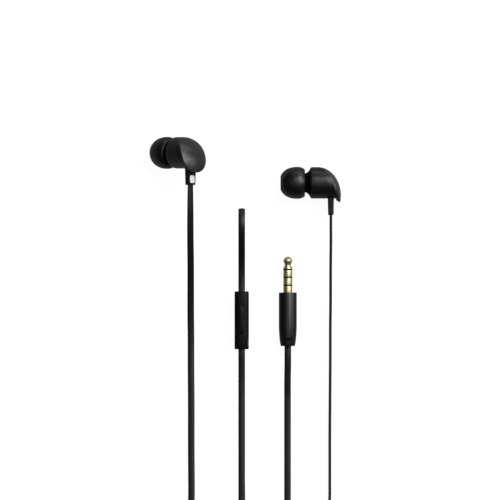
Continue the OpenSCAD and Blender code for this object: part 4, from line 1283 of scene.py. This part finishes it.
@dataclass
class Plug:
    """Four-contact plug with its moulded body.

    Attributes:
        x: X of its axis.
        top_y: Y of the body's upper end.
        pin: Radius of the pin.
        pin_length: Length of the pin outside the body.
        tip_length: Length of the tip contact.
        ring_length: Length of each ring contact.
        gap: Length of each insulator that shows.
        root: How far the pin reaches into the body.
        core: Radius of the rod that carries the tip.
        contact_inner: Inner radius of the rings and the sleeve.
        diameter: Diameter of the body.
        length: Length of the body.
        end_diameter: Diameter of its lower end.
        taper: Length over which it narrows.
        edge: Rounding of its ends.
        slot_lift: Distance of the slot from the lower end.
        slot: Width and length of the slot.
        slot_deep: Depth of the slot at the lower end's radius.
        held: The pieces inside, which are CAD nodes.
    """

    x: float = 16.6
    top_y: float = -45.7
    pin: float = 1.75
    pin_length: float = 14.0
    tip_length: float = 4.7
    ring_length: float = 2.5
    gap: float = 0.6
    root: float = 4.0
    core: float = 0.8
    contact_inner: float = 1.33
    diameter: float = 7.0
    length: float = 20.9
    end_diameter: float = 5.6
    taper: float = 6.3
    edge: float = 0.35
    slot_lift: float = 2.7
    slot: Pair = (2.7, 1.0)
    slot_deep: float = 0.8
    held: tuple[str, ...] = ("plug_inner_mould",)

    def place(self) -> Matrix:
        """Matrix from the plug's own frame, whose +X runs from the tip to the cable."""
        move = Matrix.Translation((self.x, self.top_y + self.pin_length, self.diameter / 2))
        return move @ Matrix.Rotation(-math.pi / 2, 4, "Z")

    def stand_in(self, corners: list[Corner], node: str, slot: str) -> bpy.types.Object:
        """Turn an outline and put it in place of a CAD node.

        Args:
            corners: The outline as (x, radius, rounding).
            node: The node.
            slot: The piece's finish.

        Returns:
            The piece.
        """
        draft = MeshDraft().turned(softened(corners), 96)
        made = draft.object(f"{node}_skin", slot, self.place())
        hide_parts(node)
        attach(made, "set")
        LOG.info("made %s", made.name)
        return made

    def contact(self, start: float, stop: float, inner: float) -> list[Corner]:
        """Outline of a ring contact with fine chamfers.

        Args:
            start: X of its first end.
            stop: X of its other end.
            inner: Its inner radius.

        Returns:
            The outline's corners.
        """
        return [
            (start, inner, 0), (start, self.pin, 0.06),
            (stop, self.pin, 0.06), (stop, inner, 0),
        ]

    def tip_outline(self) -> list[Corner]:
        """Outline of the tip with its ball, its waist and its core rod.

        Returns:
            The outline's corners.
        """
        r, core, waist = self.pin, self.core, 1.2
        deep = self.pin_length + self.root
        return [
            (0, 0, 0), (0.02, 0.5, 0.35), (0.4, 1.0, 0.3), (1.25, r, 0.35),
            (1.75, r, 0.3), (3.2, waist, 0.4), (3.6, waist, 0.3), (4.3, r, 0.2),
            (self.tip_length, r, 0.05), (self.tip_length, core, 0),
            (deep, core, 0), (deep, 0, 0),
        ]

    def insulators(self) -> list[Corner]:
        """Outline of the sleeve of plastic under the contacts, with its three collars.

        Returns:
            The outline's corners.
        """
        flush, under = self.pin - 0.01, 1.3
        step = self.ring_length + self.gap
        deep = self.pin_length + self.root
        corners: list[Corner] = [(self.tip_length, self.core, 0)]
        for k in range(3):
            at = self.tip_length + k * step
            stop = at + self.gap
            corners += [(at, flush, 0.02), (stop, flush, 0.02), (stop, under, 0)]
            if k < 2:
                corners.append((stop + self.ring_length, under, 0))
        corners += [(deep, under, 0), (deep, self.core, 0)]
        return corners

    def build(self) -> list[bpy.types.Object]:
        """Make the contacts, insulators and body.

        Returns:
            The pieces on the cord's end.
        """
        inner, step = self.contact_inner, self.ring_length + self.gap
        first = self.tip_length + self.gap
        second = first + step
        contacts = (
            ("plug_tip", self.tip_outline()),
            ("plug_first_ring", self.contact(first, first + self.ring_length, inner)),
            ("plug_second_ring", self.contact(second, second + self.ring_length, inner)),
            ("plug_sleeve", self.contact(second + step, self.pin_length, inner)),
        )
        pieces = [self.stand_in(outline, node, "contact_gold") for node, outline in contacts]
        pieces.append(self.stand_in(self.insulators(), "plug_insulators", "insulator"))
        pieces.append(self.build_body())
        return pieces

    def build_body(self) -> bpy.types.Object:
        """Make the moulded body with a slot on its front and back.

        Returns:
            The body.
        """
        r, end_r = self.diameter / 2, self.end_diameter / 2
        start, end = self.pin_length, self.pin_length + self.length
        hole = self.pin + 0.05
        pocket = start + 2.0
        knee = end - self.taper * 0.35
        corners: list[Corner] = [
            (start + 0.4, hole, 0.1), (start, hole + 0.3, 0.2), (start, r, self.edge),
            (end - self.taper, r, 2.0), (knee, r - 0.45 * (r - end_r), 1.5),
            (end, end_r, self.edge), (end, 1.5, 0), (pocket, 1.2, 0), (pocket, hole, 0),
        ]
        body = self.stand_in(corners, "plug_body", "plug_moulding")
        width, length = self.slot
        outline = round_box(length, width, 0.3, 5)
        at = end - self.slot_lift
        cutters = []
        for side in (-1, 1):
            rings = [
                [Vector((at + a, b, side * depth)) for a, b in outline]
                for depth in (end_r - self.slot_deep, r + 1)
            ]
            cutters.append(
                MeshDraft().rings(rings).object("slot_cutter", "neck_black", self.place())
            )
        carve(body, cutters)
        return body


@dataclass
class Splitter:
    """Shield-shaped moulding where the two legs join the trunk.

    Attributes:
        x: X of its wide end, where the legs go in.
        y: Y of its middle.
        length: Size towards the trunk.
        width: Size across at the wide end.
        end_width: Size across at the trunk's end.
        thick: Size upwards.
        corner: Rounding of its section.
        seam: Gap between the shells.
        held: The pieces inside, which are CAD nodes.
    """

    x: float = -4.0
    y: float = -165.2
    length: float = 14.0
    width: float = 8.6
    end_width: float = 4.6
    thick: float = 3.0
    corner: float = 0.8
    seam: float = 0.03
    held: tuple[str, ...] = ("splitter_crimp",)

    def half(self, name: str, low: float, high: float) -> bpy.types.Object:
        """Make the shell between two heights, drawn in towards the trunk.

        Args:
            name: The piece's name.
            low: Height at which it starts.
            high: Height at which it stops.

        Returns:
            The shell.
        """
        rings = []
        end = self.length
        stations = (
            (0.0, 1.0, 0.3), (0.12, 1.0, 0.1), (0.4, 1.0, 0.0), (4.9, 1.0, 0.0), (6.0, 0.93, 0.0),
            (9.5, 0.62, 0.0), (end - 0.4, 0.06, 0.0), (end - 0.12, 0.02, 0.1), (end, 0.0, 0.3),
        )
        for back, share, inset in stations:
            width = self.end_width + (self.width - self.end_width) * share
            outline = round_box(
                width - 2 * inset, self.thick - 2 * inset, self.corner, 6
            )
            ring = [Vector((-back, a, self.thick / 2 + b)) for a, b in outline]
            for p in ring:
                p.z = min(max(p.z, low), high)
            rings.append(ring)
        place = Matrix.Translation((self.x, self.y, 0))
        return MeshDraft().rings(rings).object(name, "remote_satin", place)

    def build(self) -> list[bpy.types.Object]:
        """Make both shells.

        Returns:
            The shells.
        """
        middle = self.thick / 2
        front = self.half("splitter_front_shell_skin", middle + self.seam, self.thick)
        rear = self.half("splitter_rear_shell_skin", 0.0, middle)
        for made, node in ((front, "splitter_front_shell"), (rear, "splitter_rear_shell")):
            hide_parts(node)
            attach(made, "set")
            LOG.info("made %s", made.name)
        return [front, rear]


# -----------------------------------------------------------------------------------------
# Cords


@dataclass
class Coil:
    """Piled coil, with the cable on its edge. It starts on its left side.

    Attributes:
        middle: Middle of the coil.
        radius: Radius of the outermost turn.
        turn: Angle of all its turns together, in degrees.
        pitch: Distance from a turn to the next one inside it.
        layer: Height of the upper layer over the lower one.
        low: Height of the lower layer's middle.
        climb: Angle over which the cable climbs a layer.
    """

    middle: Pair
    radius: float
    turn: float
    pitch: float = 1.7
    layer: float = 3.1
    low: float = 1.75
    climb: float = 180.0

    def point(self, a: float) -> RoutePoint:
        """Place on the coil, which spirals in below and out again above.

        Args:
            a: Angle from its start, in degrees.

        Returns:
            The place and the cable's roll.
        """
        radius = self.radius - self.pitch * min(a, self.turn - a) / 360
        share = min(1.0, max(0.0, (a - self.turn / 2 + self.climb / 2) / self.climb))
        rise = share * share * (3 - 2 * share)
        at = math.radians(180 + a)
        x = self.middle[0] + radius * math.cos(at)
        y = self.middle[1] + radius * math.sin(at)
        return (x, y, self.low + self.layer * rise, 90.0)

    def line(self, per_turn: int = 48) -> list[RoutePoint]:
        """Points along all the turns."""
        count = round(self.turn / 360 * per_turn)
        return [self.point(self.turn * i / count) for i in range(count + 1)]

    def inner(self) -> float:
        """Radius of the innermost turn."""
        return self.radius - self.pitch * self.turn / 720


def smoothed(route: Sequence[RoutePoint], step: float = 1.3) -> list[RoutePoint]:
    """Fill a route with points on a smooth curve that never dips below its own points.

    Args:
        route: Points as (x, y, z, roll).
        step: Largest distance between the result's points.

    Returns:
        The finer route.
    """
    last = len(route) - 1
    result: list[RoutePoint] = []
    for i in range(last):
        a, b = route[max(i - 1, 0)], route[i]
        c, d = route[i + 1], route[min(i + 2, last)]
        parts = max(1, math.ceil(math.dist(b[:3], c[:3]) / step))
        for k in range(parts):
            t = k / parts
            x, y, z, roll = (
                0.5 * (2 * q + (r - p) * t + (2 * p - 5 * q + 4 * r - s) * t * t
                       + (3 * q - p - 3 * r + s) * t**3)
                for p, q, r, s in zip(a, b, c, d)
            )
            result.append((x, y, max(z, min(b[2], c[2])), roll))
    result.append(tuple(route[last]))
    return result


@dataclass
class Cable:
    """Flat cable: a tube with rounded edges along a line of points.

    Attributes:
        name: The piece's name.
        line: Its middle line.
        first: Direction in which it starts.
        final: Direction in which it stops.
        replaces: The CAD nodes that it stands for.
        width: Size across.
        thick: Size through.
        crown: How much thinner it is at the start of its rounded edges.
        shoulder: Width of each rounded edge.
    """

    name: str
    line: list[RoutePoint]
    first: Triple
    final: Triple
    replaces: tuple[str, ...]
    width: float = 2.6
    thick: float = 1.1
    crown: float = 0.09
    shoulder: float = 0.5

    def headings(self) -> list[Vector]:
        """Direction of travel at each point.

        Returns:
            The directions.
        """
        places = [Vector(p[:3]) for p in self.line]
        count = len(places)
        result = []
        for i in range(count):
            if i == 0:
                result.append(Vector(self.first))
            elif i == count - 1:
                result.append(Vector(self.final))
            else:
                ahead = (places[i + 1] - places[i]).normalized()
                behind = (places[i] - places[i - 1]).normalized()
                result.append((ahead + behind).normalized())
        return result

    def section(self) -> list[Pair]:
        """Outline of the cable with slightly crowned faces.

        Returns:
            The outline's points, as (across, up).
        """
        a, b = self.width / 2, self.thick / 2
        face, flat = a - self.shoulder, b - self.crown
        quarter: list[Corner] = [
            (a, 0, 0), (a, b * 0.5, 0.2), (face, flat, 0.3), (face * 0.5, b - 0.02, 0), (0, b, 0),
        ]
        half = quarter + [(-x, y, reach) for x, y, reach in reversed(quarter[:-1])]
        below = [(x, -y, reach) for x, y, reach in reversed(half[1:-1])]
        return softened(half + below, 3)

    def build(self) -> bpy.types.Object:
        """Make the cable's mesh.

        Returns:
            The cable, in place of its CAD nodes.
        """
        section = self.section()
        steep = 0.7
        upright = Vector((0, 0, 1))
        side = upright.cross(Vector(self.first)).normalized()
        rings = []
        for point, heading in zip(self.line, self.headings()):
            level = upright.cross(heading)
            if level.length < steep:
                side = (side - side.dot(heading) * heading).normalized()
            else:
                side = level.normalized() * (-1 if level.dot(side) < 0 else 1)
            up = heading.cross(side)
            roll = math.radians(point[3])
            wide = math.cos(roll) * side + math.sin(roll) * up
            high = heading.cross(wide)
            middle = Vector(point[:3])
            rings.append([middle + a * wide + b * high for a, b in section])
        made = MeshDraft().rings(rings).object(self.name, "cable_skin", sharp=60.0)
        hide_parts(*self.replaces)
        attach(made, "set")
        LOG.info("made %s", made.name)
        return made

    def path(self) -> list[Triple]:
        """The cable's centre line in metres."""
        return [(p[0] * MM, p[1] * MM, p[2] * MM) for p in self.line]

    def length(self) -> float:
        """The cable's length in metres."""
        path = self.path()
        return sum(math.dist(a, b) for a, b in zip(path, path[1:]))


@dataclass
class Cords:
    """All the cable: two legs and the trunk, with their coils.

    A route's points are (x, y, z, roll), where a roll of 0 lies flat and one of 90 stands on
    its edge.

    Attributes:
        left: The left earbud, where the left leg starts.
        right: The right earbud, where the right leg starts.
        remote: The remote in the left leg.
        plug: The plug on the trunk.
        splitter: The splitter where the legs join the trunk.
        leg_coil: The right leg's coil.
        trunk_coil: The trunk's coil.
        leg_pitch: Distance between the legs where they go into the splitter.
        straight: How far a coil's turns lie beyond the end of the route that meets them.
    """

    left: Earbud
    right: Earbud
    remote: Remote
    plug: Plug
    splitter: Splitter
    leg_coil: Coil = field(default_factory=lambda: Coil((40.5, -150.5), 15.5, 990.0))
    trunk_coil: Coil = field(default_factory=lambda: Coil((-10.4, -190.0), 15.9, 2700.0))
    leg_pitch: float = 4.4
    straight: float = 2.6

    def exit_of(self, bud: Earbud) -> Vector:
        """Middle of the cable where it leaves an earbud's stem."""
        return bud.place() @ Vector((bud.stem_x, -bud.stem_reach, 0))

    def left_upper(self) -> Cable:
        """From the left earbud, round a bend, under the remote's strand and over a fold.

        Returns:
            The cable.
        """
        exit_at = self.exit_of(self.left)
        route: list[RoutePoint] = [
            (*exit_at, self.left.turn - 90),
            (-21.4, -8, 16.1, -38), (-21.4, -14, 15.3, -30), (-21.4, -24, 12.4, -22),
            (-21.3, -34, 8.6, -16), (-21.3, -44, 5, -10), (-21.3, -54, 2.3, -5),
            (-21.2, -64, 0.9, -1), (-21.2, -74, 0.55, 0), (-21.1, -90, 0.55, 0),
            (-21.1, -106, 0.55, 0), (-21, -122, 0.55, 0), (-21, -133, 0.55, 0),
            (-19.7, -138, 0.55, 0), (-16, -141.5, 0.55, 0), (-11.2, -142.8, 0.55, 0),
            (-6.4, -141.5, 0.55, 0), (-2.7, -138, 0.55, 0), (-1.4, -133, 0.55, 0),
            (-1.4, -118, 0.55, 0), (-1.4, -100, 0.55, 0), (-1.4, -82, 0.55, 0),
            (-1.4, -64, 0.55, 0), (-1.4, -46, 0.55, 0), (-1.4, -30, 0.55, 0),
            (-1.4, -23, 0.55, 0), (-1.4, -18.5, 0.55, 0), (-1.4, -15, 2, 0),
            (-1.4, -13.35, 5.6, 0), (-1.4, -15, 9.2, 0), (-1.4, -18.5, 10.7, 0),
            (-1.4, -22.8, 9.9, 0), (-1.4, -27.2, 7.9, 0), (-1.4, -32, 5.4, 0),
            (-1.4, -37, 3.7, 0), (-1.4, -41.5, 3.1, 0),
            (self.remote.x, self.remote.y + self.remote.length / 2, self.cable_height(), 0),
        ]
        return Cable(
            "left_leg_upper_cable", smoothed(route), (0, -1, 0), (0, -1, 0), ("left_leg_upper",)
        )

    def cable_height(self) -> float:
        """Height of the cable's middle where it meets the remote."""
        return self.remote.z + self.remote.thick / 2

    def left_lower(self) -> Cable:
        """From the remote, over the bend and round to the splitter.

        Returns:
            The cable.
        """
        route: list[RoutePoint] = [
            (self.remote.x, self.remote.y - self.remote.length / 2, self.cable_height(), 0),
            (-1.4, -71, 3, 0), (-1.4, -77, 2.3, 0), (-1.4, -84, 1.8, 0), (-1.4, -92, 1.75, 0),
            (-1.4, -108, 1.75, 0), (-1.4, -124, 1.75, 0), (-1.4, -136, 1.75, 0),
            (-1.1, -141, 1.75, 0), (0.4, -146, 1.3, 0), (2.6, -150.5, 0.8, 0),
            (3.9, -155, 0.8, 0), (3.1, -159.6, 1.1, 0), (0, -162.4, 1.4, 0),
            (self.splitter.x, self.splitter.y + self.leg_pitch / 2, self.splitter.thick / 2, 0),
        ]
        return Cable(
            "left_leg_lower_cable", smoothed(route), (0, -1, 0), (-1, 0, 0), ("left_leg_lower",)
        )

    def right_leg(self) -> Cable:
        """From the right earbud on its edge, through its coil and over to the splitter.

        Returns:
            The cable.
        """
        coil = self.leg_coil
        exit_at = self.exit_of(self.right)
        middle_x, middle_y = coil.middle
        down: list[RoutePoint] = [
            (*exit_at, 90),
            (33.4, -20, 6.2, 90), (33.4, -27, 5.7, 90), (33.3, -38, 4.3, 90),
            (33.3, -49, 2.8, 90), (33.2, -60, 1.8, 90), (33.2, -71, 1.4, 90),
            (33.1, -86, 1.3, 90), (33, -102, 1.3, 90), (33, -118, 1.3, 90),
            (32.9, -127, 1.3, 90), (32.1, -131, 1.4, 90), (30.3, -135, 1.5, 90),
            (28, -139, 1.6, 90), (26, -143, 1.7, 90),
            (middle_x - coil.radius, middle_y + self.straight, coil.low, 90),
        ]
        away: list[RoutePoint] = [
            (middle_x - self.straight, middle_y + coil.radius, coil.low + coil.layer, 90),
            (34, -135, 4.9, 90), (30.5, -135.2, 4.9, 88), (27, -135.9, 4.6, 80),
            (23.8, -137.6, 3.8, 58), (21, -140.1, 2.8, 30), (18.6, -143.1, 2, 8),
            (16.5, -146.4, 1.8, 0), (14.3, -149.8, 1.7, 0), (12.2, -153.4, 1.3, 0),
            (10.3, -157.2, 0.9, 0), (8.2, -161.2, 0.8, 0), (5.2, -164.8, 0.9, 0),
            (1, -167, 1.3, 0),
            (self.splitter.x, self.splitter.y - self.leg_pitch / 2, self.splitter.thick / 2, 0),
        ]
        line = smoothed(down) + coil.line() + smoothed(away)
        nodes = ("right_leg", "right_leg_coil", "right_leg_end")
        return Cable("right_leg_cable", line, (0, -1, 0), (-1, 0, 0), nodes)

    def trunk(self) -> Cable:
        """From the splitter through the coil and up to the plug.

        Returns:
            The cable.
        """
        coil = self.trunk_coil
        middle_x, middle_y = coil.middle
        away: list[RoutePoint] = [
            (self.splitter.x - self.splitter.length, self.splitter.y, self.splitter.thick / 2, 0),
            (-21.5, -165.6, 1.5, 10), (-24.2, -167.8, 1.5, 40), (-25.8, -171.5, 1.6, 70),
            (-26.3, -176, 1.7, 88), (-26.3, -181, 1.8, 90),
            (middle_x - coil.radius, middle_y + self.straight, coil.low, 90),
        ]
        lead: list[RoutePoint] = [
            (middle_x + coil.radius, middle_y + self.straight, coil.low + coil.layer, 90),
            (5.7, -184.5, 4.6, 84), (6.6, -180.5, 3.4, 55), (8.2, -176.5, 1.9, 24),
            (10.1, -172.5, 0.8, 2), (12.3, -168, 0.55, 0), (14.3, -162.5, 0.55, 0),
            (15.7, -156.5, 0.55, 0), (16.4, -150, 0.55, 0), (16.5, -140, 0.55, 0),
            (16.5, -124, 0.55, 0), (16.5, -108, 0.55, 0), (16.5, -95, 0.55, 0),
            (16.5, -87, 0.8, 0), (16.5, -80, 1.9, 0), (16.6, -73.5, 3.1, 0),
            (16.6, -70, 3.5, 0),
            (self.plug.x, self.plug.top_y - self.plug.length, self.plug.diameter / 2, 0),
        ]
        line = smoothed(away) + coil.line() + smoothed(lead)
        nodes = ("trunk_start", "trunk_coil", "plug_lead")
        return Cable("trunk_cable", line, (-1, 0, 0), (0, 1, 0), nodes)

    def build(self) -> dict[str, tuple[Cable, bpy.types.Object]]:
        """Make the four cables.

        Returns:
            Each cable with its object, by name.
        """
        cables = (self.left_upper(), self.left_lower(), self.right_leg(), self.trunk())
        return {cable.name: (cable, cable.build()) for cable in cables}

    def declare(
        self,
        cables: dict[str, tuple[Cable, bpy.types.Object]],
        remote: list[bpy.types.Object],
        splitter: list[bpy.types.Object],
        plug: list[bpy.types.Object],
        ties: list[bpy.types.Object],
    ) -> None:
        """Log each cable's length. The pieces at each cable's far end are gathered but not used.

        Args:
            cables: The cables and their objects.
            remote: The remote's pieces.
            splitter: The splitter's pieces.
            plug: The plug's pieces.
            ties: The right leg's tie and the trunk's tie.
        """
        ends = {
            "left_leg_upper_cable": ("fitting", [*remote, *self.remote.held], "loose"),
            "left_leg_lower_cable": ("fitting", [*splitter, *self.splitter.held], "loose"),
            "right_leg_cable": ("fitting", [*splitter, ties[0]], "coiled"),
            "trunk_cable": ("plug", [*plug, *self.plug.held, ties[1]], "coiled"),
        }
        for name, (far_end, pieces, lay) in ends.items():
            cable, made = cables[name]
            path = cable.path()
            cable.length()
            LOG.info("%s is %.3f m long", name, cable.length())


@dataclass
class Tie:
    """Flat coated wire round a coil's turns, with twisted tails.

    Attributes:
        node: The CAD node that it stands for.
        coil: The coil that it holds.
        at: Its place round the coil, in degrees.
        width: Width of the band.
        thick: Thickness of the band.
        soft: Rounding of its edges.
        tail: Length of the tails.
        tail_wire: Radius of one of the two wires in them.
        tail_twist: Radius on which the wires turn.
        tail_turns: Turns of the wires.
        gap: Room between the band and the cable.
        cable: Width and thickness of the cable.
    """

    node: str
    coil: Coil
    at: float
    width: float = 3.0
    thick: float = 0.4
    soft: float = 0.12
    tail: float = 7.0
    tail_wire: float = 0.3
    tail_twist: float = 0.36
    tail_turns: float = 2.5
    gap: float = 0.3
    cable: Pair = (2.6, 1.1)

    def inner(self) -> float:
        """Distance of the band's inside from the coil's middle, on the near side."""
        return self.coil.inner() - self.cable[1] / 2 - self.gap

    def outer(self) -> float:
        """Distance of the band's inside from the coil's middle, on the far side."""
        return self.coil.radius + self.cable[1] / 2 + self.gap

    def top(self) -> float:
        """Height of the band's inside over the surface."""
        return self.coil.low + self.coil.layer + self.cable[0] / 2 + self.gap

    def band(self) -> list[list[Vector]]:
        """Rings of the band, which runs round the turns and closes on itself.

        Returns:
            The rings.
        """
        low_r, high_r, top, t = self.inner(), self.outer(), self.top(), self.thick
        outer = softened([
            (low_r - t, 0, 0.9), (high_r + t, 0, 0.9), (high_r + t, top + t, 0.9),
            (low_r - t, top + t, 0.9),
        ], 6)
        inner = softened([
            (low_r, t, 0.6), (high_r, t, 0.6), (high_r, top, 0.6), (low_r, top, 0.6),
        ], 6)
        edge = self.width / 2 - self.soft
        order = ((outer, edge), (outer, -edge), (inner, -edge), (inner, edge), (outer, edge))
        return [[Vector((x, y, z)) for x, z in line] for line, y in order]

    def tail_strand(self, phase: float) -> list[list[Vector]]:
        """Rings of one of the two wires that are twisted into the tail.

        Args:
            phase: Angle at which it starts, in radians.

        Returns:
            The rings.
        """
        steps, sides = 36, 10
        start, middle = self.outer() + self.thick * 0.5, self.top() / 2
        wire, twist = self.tail_wire, self.tail_twist
        strand = []
        for i in range(steps + 1):
            share = i / steps
            turn = phase + share * self.tail_turns * 2 * math.pi
            x = start + share * (self.tail - self.thick * 0.5)
            y, z = twist * math.cos(turn), middle + twist * math.sin(turn)
            ring = []
            for k in range(sides):
                a = 2 * math.pi * k / sides
                ring.append(Vector((x, y + wire * math.cos(a), z + wire * math.sin(a))))
            strand.append(ring)
        return strand

    def build(self) -> bpy.types.Object:
        """Make the band and its tails.

        Returns:
            The tie, in place of its CAD node.
        """
        place = Matrix.Translation((*self.coil.middle, 0)) @ Matrix.Rotation(
            math.radians(self.at), 4, "Z"
        )
        draft = MeshDraft().rings(self.band(), caps=False)
        for phase in (0.0, math.pi):
            draft.rings(self.tail_strand(phase))
        made = draft.object(f"{self.node}_band", "tie", place)
        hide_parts(self.node)
        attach(made, "set")
        LOG.info("made %s", made.name)
        return made


# -----------------------------------------------------------------------------------------
# Studio


@dataclass(frozen=True)
class Lamp:
    """Soft rectangular lamp.

    Attributes:
        name: Its name.
        place: Its place in metres.
        size: Its width and height in metres.
        watts: Its power.
    """

    name: str
    place: Triple
    size: Pair
    watts: float

    def hang(self, aim: Vector) -> None:
        """Hang the lamp so that it shines at a point.

        Args:
            aim: The point in metres.
        """
        data = bpy.data.lights.new(self.name, "AREA")
        data.shape = "RECTANGLE"
        data.size, data.size_y = self.size
        data.energy = self.watts
        lamp = bpy.data.objects.new(self.name, data)
        lamp.location = self.place
        way = aim - Vector(self.place)
        lamp.rotation_euler = way.to_track_quat("-Z", "Y").to_euler()
        bpy.context.scene.collection.objects.link(lamp)


@dataclass
class Studio:
    """Straight-down camera, pale floor and soft lamps.

    Attributes:
        middle: The point under the camera.
        frame_width: Width of what the camera sees at the surface.
        camera_height: Height of the camera.
        sensor: Width of its sensor.
        clip: Nearest and furthest distance that it sees, in metres.
        lamps: The lamps. The key light is large and stands to the right and behind.
        world_light: Strength of the light from all round.
        floor_half: Half the floor's size, in metres.
        floor_drop: Gap under the set, in metres.
        floor_grey: The floor's colour under the lamps.
        floor_glow: How bright the floor looks. 1 is white.
        floor_in_gloss: How much of that brightness glossy surfaces see.
    """

    middle: Pair = (1.84, -29.1)
    frame_width: float = 195.3
    camera_height: float = 6000.0
    sensor: float = 36.0
    clip: Pair = (0.1, 20.0)
    lamps: tuple[Lamp, ...] = (
        Lamp("key", (0.50, 0.46, 0.86), (0.9, 0.8), 12.5),
        Lamp("overhead", (0.05, 0.05, 1.10), (0.8, 0.8), 1.0),
        Lamp("side", (1.00, 0.20, 0.42), (0.5, 0.4), 1.5),
        Lamp("rear", (0.35, 1.00, 0.20), (1.1, 0.3), 2.0),
    )
    world_light: float = 0.05
    floor_half: float = 1.5
    floor_drop: float = 0.00002
    floor_grey: float = 0.08
    floor_glow: float = 0.96
    floor_in_gloss: float = 0.2

    def build_camera(self) -> None:
        """Look straight down with a long lens."""
        data = bpy.data.cameras.new("camera")
        data.sensor_width = self.sensor
        data.lens = self.sensor * self.camera_height / self.frame_width
        data.clip_start, data.clip_end = self.clip
        camera = bpy.data.objects.new("camera", data)
        camera.location = (self.middle[0] * MM, self.middle[1] * MM, self.camera_height * MM)
        bpy.context.scene.collection.objects.link(camera)
        bpy.context.scene.camera = camera

    def build_floor(self) -> None:
        """Lay a white floor that keeps the object's shadow."""
        mesh = bpy.data.meshes.new("floor")
        half = self.floor_half
        mesh.from_pydata(
            [(-half, -half, 0), (half, -half, 0), (half, half, 0), (-half, half, 0)],
            [], [(0, 1, 2, 3)],
        )
        mesh.materials.append(self.floor_material())
        floor = bpy.data.objects.new("floor", mesh)
        floor.location = (0, 0, -self.floor_drop)
        bpy.context.scene.collection.objects.link(floor)

    def floor_material(self) -> bpy.types.Material:
        """Build a plain grey that also glows white to the camera, and less so to glossy rays.

        Returns:
            The Blender material.
        """
        sheet = NodeSheet("floor")
        sheet.shader.inputs["Base Color"].default_value = (*[self.floor_grey] * 3, 1)
        sheet.shader.inputs["Roughness"].default_value = 0.9
        sheet.shader.inputs["Specular IOR Level"].default_value = 0.1
        ray = sheet.add("ShaderNodeLightPath")
        glow = sheet.add("ShaderNodeEmission", Strength=self.floor_glow)
        total = sheet.add("ShaderNodeAddShader")
        dark = sheet.add("ShaderNodeEmission", Strength=0.0)
        pick = sheet.add("ShaderNodeMixShader")
        dimmed = sheet.add("ShaderNodeMath", operation="MULTIPLY")
        dimmed.inputs[1].default_value = self.floor_in_gloss
        clear = sheet.add("ShaderNodeMath", operation="MAXIMUM")
        both = sheet.add("ShaderNodeMath", operation="MAXIMUM")
        for a, out, b, into in (
            (ray, "Is Glossy Ray", dimmed, 0),
            (ray, "Is Camera Ray", clear, 0),
            (ray, "Is Transmission Ray", clear, 1),
            (clear, 0, both, 0),
            (dimmed, 0, both, 1),
            (both, 0, pick, 0),
            (dark, 0, pick, 1),
            (glow, 0, pick, 2),
            (sheet.shader, 0, total, 0),
            (pick, 0, total, 1),
            (total, 0, sheet.output, "Surface"),
        ):
            sheet.join(a, out, b, into)
        return sheet.material

    def build_light(self) -> None:
        """Light the set a little from all round, and from above by the lamps."""
        world = bpy.data.worlds.new("world")
        world.use_nodes = True
        background = world.node_tree.nodes["Background"].inputs
        background["Color"].default_value = (1, 1, 1, 1)
        background["Strength"].default_value = self.world_light
        bpy.context.scene.world = world
        for lamp in self.lamps:
            lamp.hang(Vector((0, self.middle[1] * MM, 0)))

    def build(self) -> None:
        """Make the floor and the light, and set how colours are shown."""
        self.build_floor()
        self.build_light()
        bpy.context.scene.view_settings.view_transform = "Standard"


# -----------------------------------------------------------------------------------------
# The whole set


@dataclass
class CarriedNodes:
    """CAD solids whose own shape stays, dressed in the finish that the record gives them.

    Attributes:
        frame: The loaded frame.
    """

    frame: dict[str, Any]

    def dress(self) -> None:
        """Give each solid that still shows its material."""
        slots = {s["node"]: s["material_slot"] for s in self.frame["record"]["subparts"]}
        for node, thing in self.frame["nodes"].items():
            if thing.hide_render:
                continue
            thing.data.materials.clear()
            thing.data.materials.append(FINISHES[slots[node]].material())
            LOG.info("dressed %s", node)


def main() -> None:
    """Build the set piece by piece."""
    logging.basicConfig(level=logging.INFO, format="%(message)s")
    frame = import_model()

    studio = Studio()
    studio.build_camera()
    left = Earbud(Side.LEFT, x=-26.76, y=8.8, turn=46.0)
    right = Earbud(Side.RIGHT, x=25.63, y=-2.89, turn=0.0)
    remote, plug, splitter = Remote(), Plug(), Splitter()
    cords = Cords(left, right, remote, plug, splitter)
    cables = cords.build()

    left.build()
    right.build()
    remote_pieces = remote.build()
    splitter_pieces = splitter.build()
    plug_pieces = plug.build()
    ties = [
        Tie("right_leg_tie", cords.leg_coil, at=300.0).build(),
        Tie("trunk_tie", cords.trunk_coil, at=225.0).build(),
    ]
    cords.declare(cables, remote_pieces, splitter_pieces, plug_pieces, ties)
    CarriedNodes(frame).dress()
    studio.build()


if __name__ == "__main__":
    main()
